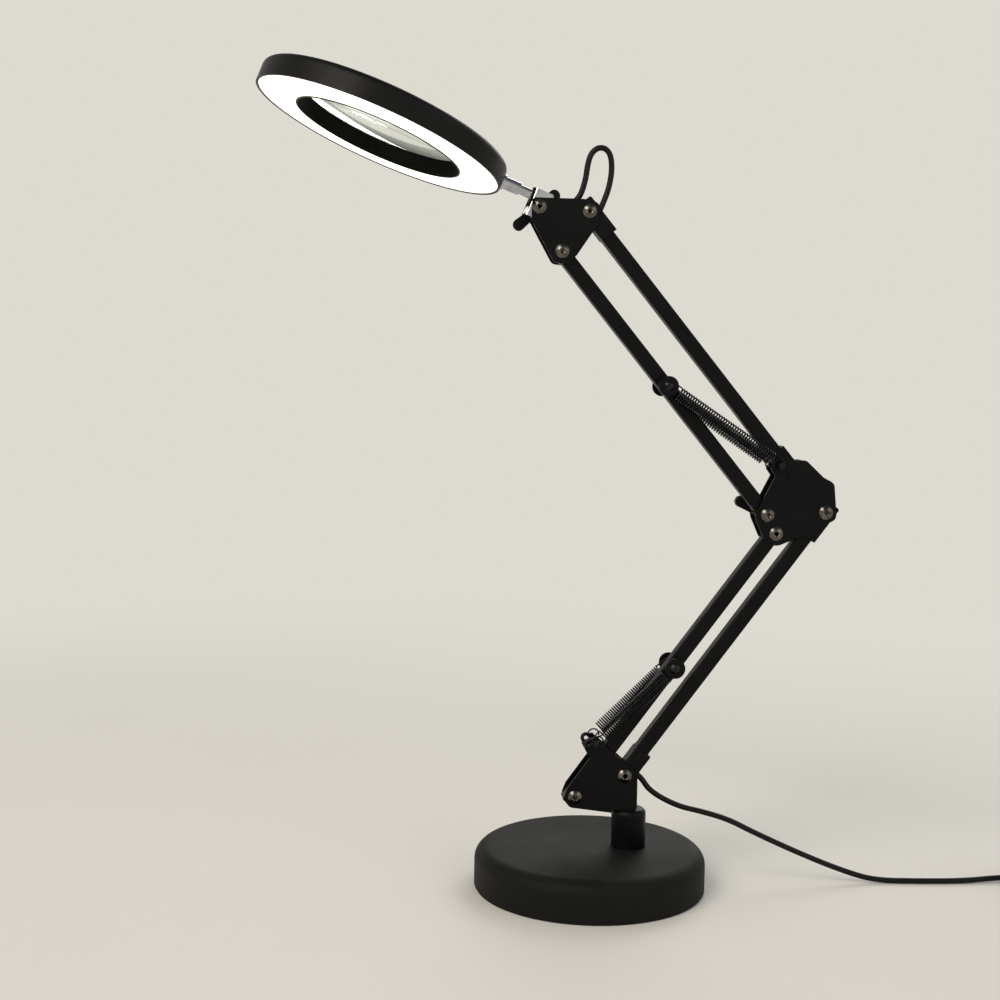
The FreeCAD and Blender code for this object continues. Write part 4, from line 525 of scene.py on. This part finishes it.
# %% Nuts in the foot, the elbow and the head bracket
BORE, NUT_RADIUS, COLLAR = 2.52, 4.62, 3.9
nut_rings = [(HEXAGON, 4.3, 0.0), (HEXAGON, NUT_RADIUS, 0.3), (HEXAGON, NUT_RADIUS, 2.5), (SIDES, COLLAR, 2.9),
             (SIDES, 3.85, 3.5), (SIDES, 3.6, 3.85), (SIDES, 3.2, 4.0), (SIDES, 3.05, 3.8), (SIDES, BORE, 3.7),
             (SIDES, BORE, 0.0)]
for name, stands_for, body, spots in [
        ("foot_lock_nuts", "foot_nuts", "foot", [(front, 14), (rear_low, 47)]),
        ("elbow_lock_nuts", "elbow_nuts", "elbow", [(front_high, 3), (rear_high, 33)]),
        ("head_lock_nuts", "head_nuts", "head_bracket", [(over_high, 22), (under_high, 51)])]:
    nuts = place_stacks(name, finish_of_slot[slot_of[stands_for]], [
        (nut_rings, spot + far_face, turn, 1) for spot, turn in spots], bored=True)
    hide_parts(stands_for)
    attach(nuts, body)

# %% [markdown]
# ## The long sleeves
# A long sleeve closes each end of the two outer tubes. It stands out from the tube on its outer side only; on the inner
# side it lies almost flush. The CAD sleeve is the same all round, so a plane just outside the tube shaves the inner
# side off, and the cut is closed again.

# %% Shave the long sleeves
FLUSH = 5.35 * MM                         # from the tube's middle to the cut; the tube itself is 5 mm
SAME_POINT = 1e-6                         # metres; corners nearer than this are one
for name, stands_for, body, low, high in [
        ("lower_rear_end_sleeves", "lower_rear_sleeves", "lower_rear", rear_low, rear_high),
        ("upper_upper_end_sleeves", "upper_upper_sleeves", "upper_upper", over, over_high)]:
    tube_way = (high - low).normalized()
    inner_way = Vector((-tube_way.z, 0.0, tube_way.x))
    sleeve_form = bmesh.new()
    sleeve_form.from_mesh(nodes[stands_for].data)
    bmesh.ops.remove_doubles(sleeve_form, verts=sleeve_form.verts, dist=SAME_POINT)
    cut = bmesh.ops.bisect_plane(sleeve_form, geom=sleeve_form.verts[:] + sleeve_form.edges[:] + sleeve_form.faces[:],
                                 plane_co=low + inner_way * FLUSH, plane_no=inner_way, clear_outer=True)["geom_cut"]
    bmesh.ops.holes_fill(sleeve_form, edges=[item for item in cut if isinstance(item, bmesh.types.BMEdge)], sides=0)
    bmesh.ops.recalc_face_normals(sleeve_form, faces=sleeve_form.faces)
    sleeves = finish_piece(name, sleeve_form, finish_of_slot[slot_of[stands_for]])
    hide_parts(stands_for)
    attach(sleeves, body)

# %% [markdown]
# ## The coil and the plug
# The rest of the cord is put away as a neat round coil. It spirals in and out again in four layers, and climbs a
# layer in the half turn where the spiral reverses, so the turns lie a cord's width apart. The points come from that
# rule, sixteen to a turn.

# %% Wind the coil
LOOP, STEP, LAYER, TURNS, LAYERS = 26.0, 5.3, 4.7, 2, 4
CLIMB, POINTS = 0.5, 16                   # turns for a climb, and points to a turn


def coil_spot(turn):
    """The coil's point after a number of turns, in millimetres."""
    left, radius, height = turn, LOOP, 0.0
    for layer in range(LAYERS):
        length = TURNS + (CLIMB if layer == LAYERS - 1 else 0.0)
        step = min(left, length)
        radius += (-1 if layer % 2 == 0 else 1) * STEP * step
        left -= step
        climb = min(left, CLIMB) / CLIMB
        if layer < LAYERS - 1:
            height += LAYER * (3 * climb ** 2 - 2 * climb ** 3)
        left -= min(left, CLIMB)
    angle = 2 * math.pi * turn - math.pi / 2
    return (COIL_X + math.cos(angle) * radius, COIL_Y - LOOP - math.sin(angle) * radius, RAISED + height)


all_turns = LAYERS * (TURNS + CLIMB)
coil_route = [coil_spot(i / POINTS) for i in range(int(POINTS * all_turns) + 1)]
tail_x, tail_y, tail_z = coil_route[-1]
PLUG_X, PLUG_Y, PLUG_Z = tail_x + 92.0, tail_y - 9.0, 4.0
coil_route += [(tail_x + 16.0, tail_y, tail_z), (tail_x + 33.0, tail_y - 1.5, tail_z - 3.6),
               (tail_x + 52.0, tail_y - 6.0, PLUG_Z + 2.4), (tail_x + 73.0, PLUG_Y, PLUG_Z),
               (PLUG_X, PLUG_Y, PLUG_Z)]
coil_cord, coil_path = cord_curve("coiled_lead", coil_route, CORD_RADIUS)
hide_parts("cord_coil", "cord_tail")
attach(coil_cord, "base")
print("coiled lead", round(path_length(coil_path), 3), "m in", all_turns, "turns")

# %% [markdown]
# ## The plug's sleeve and the tie
# Where the cord goes into the plug, a soft sleeve with ribs keeps it from kinking. It is a stack of rings that gets
# thicker towards the grip. The tie is a flat band: a rectangle with rounded corners, whose outline is pulled out to
# the band's width and then gets its thickness.

# %% The plug's sleeve
RIBS, RIB_STEP, RIB_RADIUS, RIB_GROWTH, GROOVE, RIB_SIDES = 6, 2.4, 2.7, 0.13, 0.35, 24
ribbed_rings = [(RIB_SIDES, 2.5, -0.6 - RIBS * RIB_STEP)]
for rib in range(RIBS):
    low = (rib - RIBS) * RIB_STEP
    thick = RIB_RADIUS + RIB_GROWTH * rib
    ribbed_rings += [(RIB_SIDES, thick, low), (RIB_SIDES, thick, low + 1.5), (RIB_SIDES, thick - GROOVE, low + 1.7),
                     (RIB_SIDES, thick - GROOVE, low + 2.2)]
ribbed_rings.append((RIB_SIDES, 3.3, 0.5))
ribbed_form = bmesh.new()
stack_rings(ribbed_form, ribbed_rings, bored=False)
bmesh.ops.transform(ribbed_form, verts=ribbed_form.verts,
                    matrix=Matrix.Translation(Vector((PLUG_X, PLUG_Y, PLUG_Z)) * MM) @ Matrix.Rotation(
                        math.pi / 2, 4, "Y"))
plug_sleeve = finish_piece("plug_sleeve", ribbed_form, soft_pvc)
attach(plug_sleeve, "base")

# %% The tie
BAND, CORNER = 0.8, 3.0
tie_low, tie_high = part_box("cord_tie")
tie_form = bmesh.new()
bmesh.ops.create_grid(tie_form, x_segments=1, y_segments=1, size=0.5,
                      matrix=Matrix.Rotation(math.pi / 2, 4, "Y"))
bmesh.ops.scale(tie_form, verts=tie_form.verts, vec=Vector((1.0, *(tie_high - tie_low)[1:])))
bmesh.ops.translate(tie_form, verts=tie_form.verts,
                    vec=Vector((tie_low.x, *((tie_low + tie_high) / 2)[1:])))
bmesh.ops.bevel(tie_form, geom=tie_form.verts[:], affect="VERTICES", offset=CORNER * MM, offset_type="OFFSET",
                segments=6, profile=0.5, material=-1)
bmesh.ops.delete(tie_form, geom=tie_form.faces[:], context="FACES_ONLY")
pulled = bmesh.ops.extrude_edge_only(tie_form, edges=tie_form.edges[:])["geom"]
bmesh.ops.translate(tie_form, verts=[item for item in pulled if isinstance(item, bmesh.types.BMVert)],
                    vec=Vector((tie_high.x - tie_low.x, 0.0, 0.0)))
bmesh.ops.recalc_face_normals(tie_form, faces=tie_form.faces)
bmesh.ops.solidify(tie_form, geom=tie_form.faces[:], thickness=BAND * MM)
coil_tie = finish_piece("coil_tie", tie_form, woven_nylon)
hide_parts("cord_tie")
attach(coil_tie, "base")

# %% [markdown]
# ## The springs
# Each tension spring is one wire: an eye round its peg, a short lead, close coils, and the same at the other
# end. The wire's round section is a small circle, and spinning it about the eye's axis, about a short bend and about
# the spring's own axis with a step forward makes the whole wire in one run.
#
# When the arm moves, a spring swings about its peg and stays straight, but a mesh that bends between two bodies turns
# about their joint, which is somewhere else. From the peg outwards, the share of the turn that a point needs grows fast
# at first and then slowly. One smooth bend can't follow that, so the wire is cut across into stretches.

# %% Helpers for the springs
WIRE, COIL, EYE, BEND = 0.55 * MM, 4.5 * MM, 3.9 * MM, 1.4 * MM      # radii of the wire and of its curves
SPRING_OUT = 11.35 * MM                   # from the middle of the arm to a spring's axis
EYE_OPENING, EYE_SWEEP = 55.0, 325.0      # degrees: where the wire's end is, and how far it runs round the peg
WIRE_SIDES, ROUND, EYE_STEPS, BEND_STEPS = 8, 18, 30, 6


def run_on(form, end, centre, axis, degrees, steps, step=Vector()):
    """Spins the wire's open end on about an axis, with a step along it each time, and returns the new open end."""
    return bmesh.ops.spin(form, geom=end, cent=centre, axis=axis, dvec=step, angle=math.radians(degrees),
                          steps=steps)["geom_last"]


def close_end(form, end):
    bmesh.ops.edgeloop_fill(form, edges=[item for item in end if isinstance(item, bmesh.types.BMEdge)])


def wind_spring(low_eye, high_eye, coil_low, coil_high, side, turns):
    """A spring's wire between the centres of its eyes; its coils run from coil_low to coil_high, all in metres."""
    out = Vector((0.0, side, 0.0))
    low_eye, high_eye, coil_low, coil_high = (
        spot + out * SPRING_OUT for spot in (low_eye, high_eye, coil_low, coil_high))
    way = (high_eye - low_eye).normalized()
    across = out.cross(way)
    opening = math.radians(EYE_OPENING)
    spot = low_eye + (way * math.cos(opening) + across * math.sin(opening)) * EYE
    heading = way * math.sin(opening) - across * math.cos(opening)
    form = bmesh.new()
    ring = bmesh.ops.create_circle(form, segments=WIRE_SIDES, radius=WIRE, matrix=Matrix.Translation(
        spot) @ heading.to_track_quat("Z", "Y").to_matrix().to_4x4())["verts"]
    end = ring + list({edge for vert in ring for edge in vert.link_edges})
    close_end(form, end)
    end = run_on(form, end, low_eye, out, -EYE_SWEEP, EYE_STEPS)
    lead = coil_low - low_eye + across * (COIL - EYE) - (way + out) * BEND
    end = run_on(form, end, low_eye, way, 0.0, 1, lead)
    end = run_on(form, end, coil_low + across * COIL - way * BEND, across, -90.0, BEND_STEPS)
    steps = turns * ROUND + ROUND // 2
    end = run_on(form, end, coil_low, way, 360.0 * (turns + 0.5), steps, (coil_high - coil_low) / steps)
    end = run_on(form, end, coil_high - across * COIL + way * BEND, across, -90.0, BEND_STEPS)
    lead = high_eye - coil_high + across * (COIL - EYE) - (way - out) * BEND
    end = run_on(form, end, high_eye, way, 0.0, 1, lead)
    end = run_on(form, end, high_eye, out, EYE_SWEEP, EYE_STEPS)
    close_end(form, end)
    bmesh.ops.recalc_face_normals(form, faces=form.faces)
    return form


# %% Helper that cuts a spring into stretches
CUTS = (0.0, 0.1, 0.3, 0.6, 0.85, 1.0)    # parts of the way from the peg to the bolt
NEAR = 0.002                              # a point this near to a cut, in millimetres, is on it


def cut_stretch(wire, low, high, way):
    """A closed copy of the wire between two points of the spring; an end without a point stays as it is."""
    stretch = wire.copy()
    for spot, inward in ((low, way), (high, -way)):
        if spot is not None:
            close_end(stretch, bmesh.ops.bisect_plane(
                stretch, geom=stretch.verts[:] + stretch.edges[:] + stretch.faces[:], dist=NEAR * MM, plane_co=spot,
                plane_no=inward, clear_inner=True)["geom_cut"])
    return stretch


# %% Wind the four springs
PEG_TO_EYE, BOLT_TO_EYE, PEG_TO_COIL, BOLT_TO_COIL = 1.85 * MM, 0.75 * MM, 7.9 * MM, 8.55 * MM
JOINT_TO_HOOK = Vector((13.55, 0.0, 39.0)) * MM
low_peg = pivot["lower_arm"] + JOINT_TO_HOOK
low_bolt, up_peg, up_bolt = (sum(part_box(name), Vector()) / 2 for name in (
    "lower_spring_bolt", "elbow_pegs", "upper_spring_bolt"))
for label, peg, bolt, turns, joint, bodies in [
        ("lower_spring_", low_peg, low_bolt, 34, "lower_arm", ("foot", "lower_front")),
        ("upper_spring_", up_peg, up_bolt, 40, "upper_lower_pivot", ("elbow", "upper_lower"))]:
    along = (bolt - peg).normalized()
    coil_low, coil_high = peg + along * PEG_TO_COIL, bolt - along * BOLT_TO_COIL
    for place, side in (("near", -1), ("far", 1)):
        wire = wind_spring(peg + along * PEG_TO_EYE, bolt - along * BOLT_TO_EYE, coil_low, coil_high, side, turns)
        for count, (low, high) in enumerate(zip(CUTS, CUTS[1:]), 1):
            stretch = cut_stretch(wire, peg.lerp(bolt, low) if low > 0.0 else None,
                                  peg.lerp(bolt, high) if high < 1.0 else None, along)
            wound = finish_piece(f"wound_{label}{place}_{count}", stretch, metals["blackened_steel_wire"], sharp=60.0)
            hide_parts(label + place)
            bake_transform(wound)
        wire.free()

# %% [markdown]
# ## Floor and background
# The lamp stands on a plain pale floor. Near the lamp the floor is a matt surface that takes its shadow; further out
# it fades to the same pale colour that the world shows, so no horizon cuts through the picture. Metal and glass see
# that pale background too, so it is switched by the kind of ray. The world gets greyer overhead, as a studio does,
# which leaves the tops of black things dark.

# %% Floor
PALE = "#dddad2"
FLOOR_RADIUS, FADE_FROM, FADE_TO = 9.0, 0.35, 1.5    # metres
floor_mesh = bpy.data.meshes.new("floor")
floor_form = bmesh.new()
bmesh.ops.create_circle(floor_form, cap_ends=True, segments=96, radius=FLOOR_RADIUS)
floor_form.to_mesh(floor_mesh)
floor_form.free()
floor = bpy.data.objects.new("floor", floor_mesh)
bpy.context.scene.collection.objects.link(floor)
print("floor", len(floor_mesh.polygons), "face")


# %% Helper for the rays that show a background
def seen_rays(owner):
    """A node that gives 1 on the rays that show a background: camera, glossy and transmission rays."""
    ray = add_node(owner, "ShaderNodeLightPath")
    clear = add_node(owner, "ShaderNodeMath", settings=[("operation", "MAXIMUM")])
    every = add_node(owner, "ShaderNodeMath", settings=[("operation", "MAXIMUM")])
    for target, socket, source, output in ((clear, 0, ray, "Is Glossy Ray"), (clear, 1, ray, "Is Transmission Ray"),
                                           (every, 0, ray, "Is Camera Ray"), (every, 1, clear, "Value")):
        owner.node_tree.links.new(source.outputs[output], target.inputs[socket])
    return every


# %% The floor's finish
pale, shader = start_material("pale_matt_floor", Roughness=0.85, Specular_IOR_Level=0.2)
where = add_node(pale, "ShaderNodeTexCoord")
cloud = add_node(pale, "ShaderNodeTexNoise", inputs=[("Scale", 2.0), ("Detail", 3.0)],
                 links=[("Vector", where, "Object")])
tone = add_node(pale, "ShaderNodeValToRGB", links=[("Fac", cloud, "Fac")], ramp=[(0.0, "#dad7cf"), (1.0, "#e0ddd5")])
feed(pale, shader, Base_Color=(tone, "Color"))
distance = add_node(pale, "ShaderNodeVectorMath", settings=[("operation", "LENGTH")],
                    links=[("Vector", where, "Object")])
fade = add_node(pale, "ShaderNodeMapRange", settings=[("interpolation_type", "SMOOTHSTEP")],
                inputs=[("From Min", FADE_FROM), ("From Max", FADE_TO)], links=[("Value", distance, "Value")])
seen = seen_rays(pale)
share = add_node(pale, "ShaderNodeMath", settings=[("operation", "MULTIPLY")])
pale.node_tree.links.new(fade.outputs["Result"], share.inputs[0])
pale.node_tree.links.new(seen.outputs["Value"], share.inputs[1])
haze_out = add_node(pale, "ShaderNodeEmission", inputs=[("Color", hex_to_linear(PALE)), ("Strength", 1.0)])
blend_out = add_node(pale, "ShaderNodeMixShader", links=[("Fac", share, "Value")])
pale.node_tree.links.new(shader.outputs["BSDF"], blend_out.inputs[1])
pale.node_tree.links.new(haze_out.outputs["Emission"], blend_out.inputs[2])
feed(pale, pale.node_tree.nodes["Material Output"], Surface=(blend_out, "Shader"))
floor_mesh.materials.append(pale)
print(pale.name, "fades from", FADE_FROM, "to", FADE_TO, "m")

# %% World
world = bpy.data.worlds.new("pale_studio")
world.use_nodes = True
lit = world.node_tree.nodes["Background"]
lit.inputs["Color"].default_value = hex_to_linear("#e4e5e6")
lit.inputs["Strength"].default_value = 0.5
where = add_node(world, "ShaderNodeTexCoord")
height = add_node(world, "ShaderNodeSeparateXYZ", links=[("Vector", where, "Generated")])
sky = add_node(world, "ShaderNodeValToRGB", links=[("Fac", height, "Z")], ramp=[(0.28, PALE), (0.8, "#6e7072")])
shown = add_node(world, "ShaderNodeBackground", links=[("Color", sky, "Color")])
seen = seen_rays(world)
choice = add_node(world, "ShaderNodeMixShader", links=[("Fac", seen, "Value")])
world.node_tree.links.new(lit.outputs["Background"], choice.inputs[1])
world.node_tree.links.new(shown.outputs["Background"], choice.inputs[2])
feed(world, world.node_tree.nodes["World Output"], Surface=(choice, "Shader"))
bpy.context.scene.world = world
print("world", world.name)

# %% [markdown]
# ## Light
# Three large soft lamps: a key on the left in front, a fill on the right, and one behind that draws an edge on the
# black tubes. They are far enough away to light the floor evenly.

# %% Lamps
AIM = Vector((0.0, 0.0, 0.25))
for name, place, size, power, colour in [
        ("key", (-1.7, -1.9, 2.3), 1.8, 62.0, "#fff8ee"), ("fill", (2.0, -1.6, 1.4), 1.6, 9.0, "#f2f6ff"),
        ("edge", (1.0, 2.0, 1.7), 1.6, 26.0, "#ffffff")]:
    light = bpy.data.lights.new(name, "AREA")
    light.size = size
    light.energy = power
    light.color = hex_to_linear(colour)[:3]
    lamp = bpy.data.objects.new(name, light)
    lamp.location = place
    lamp.rotation_euler = (AIM - Vector(place)).to_track_quat("-Z", "Y").to_euler()
    bpy.context.scene.collection.objects.link(lamp)
bpy.context.scene.view_settings.view_transform = "Standard"
print("lamps", [item.name for item in bpy.data.lights])
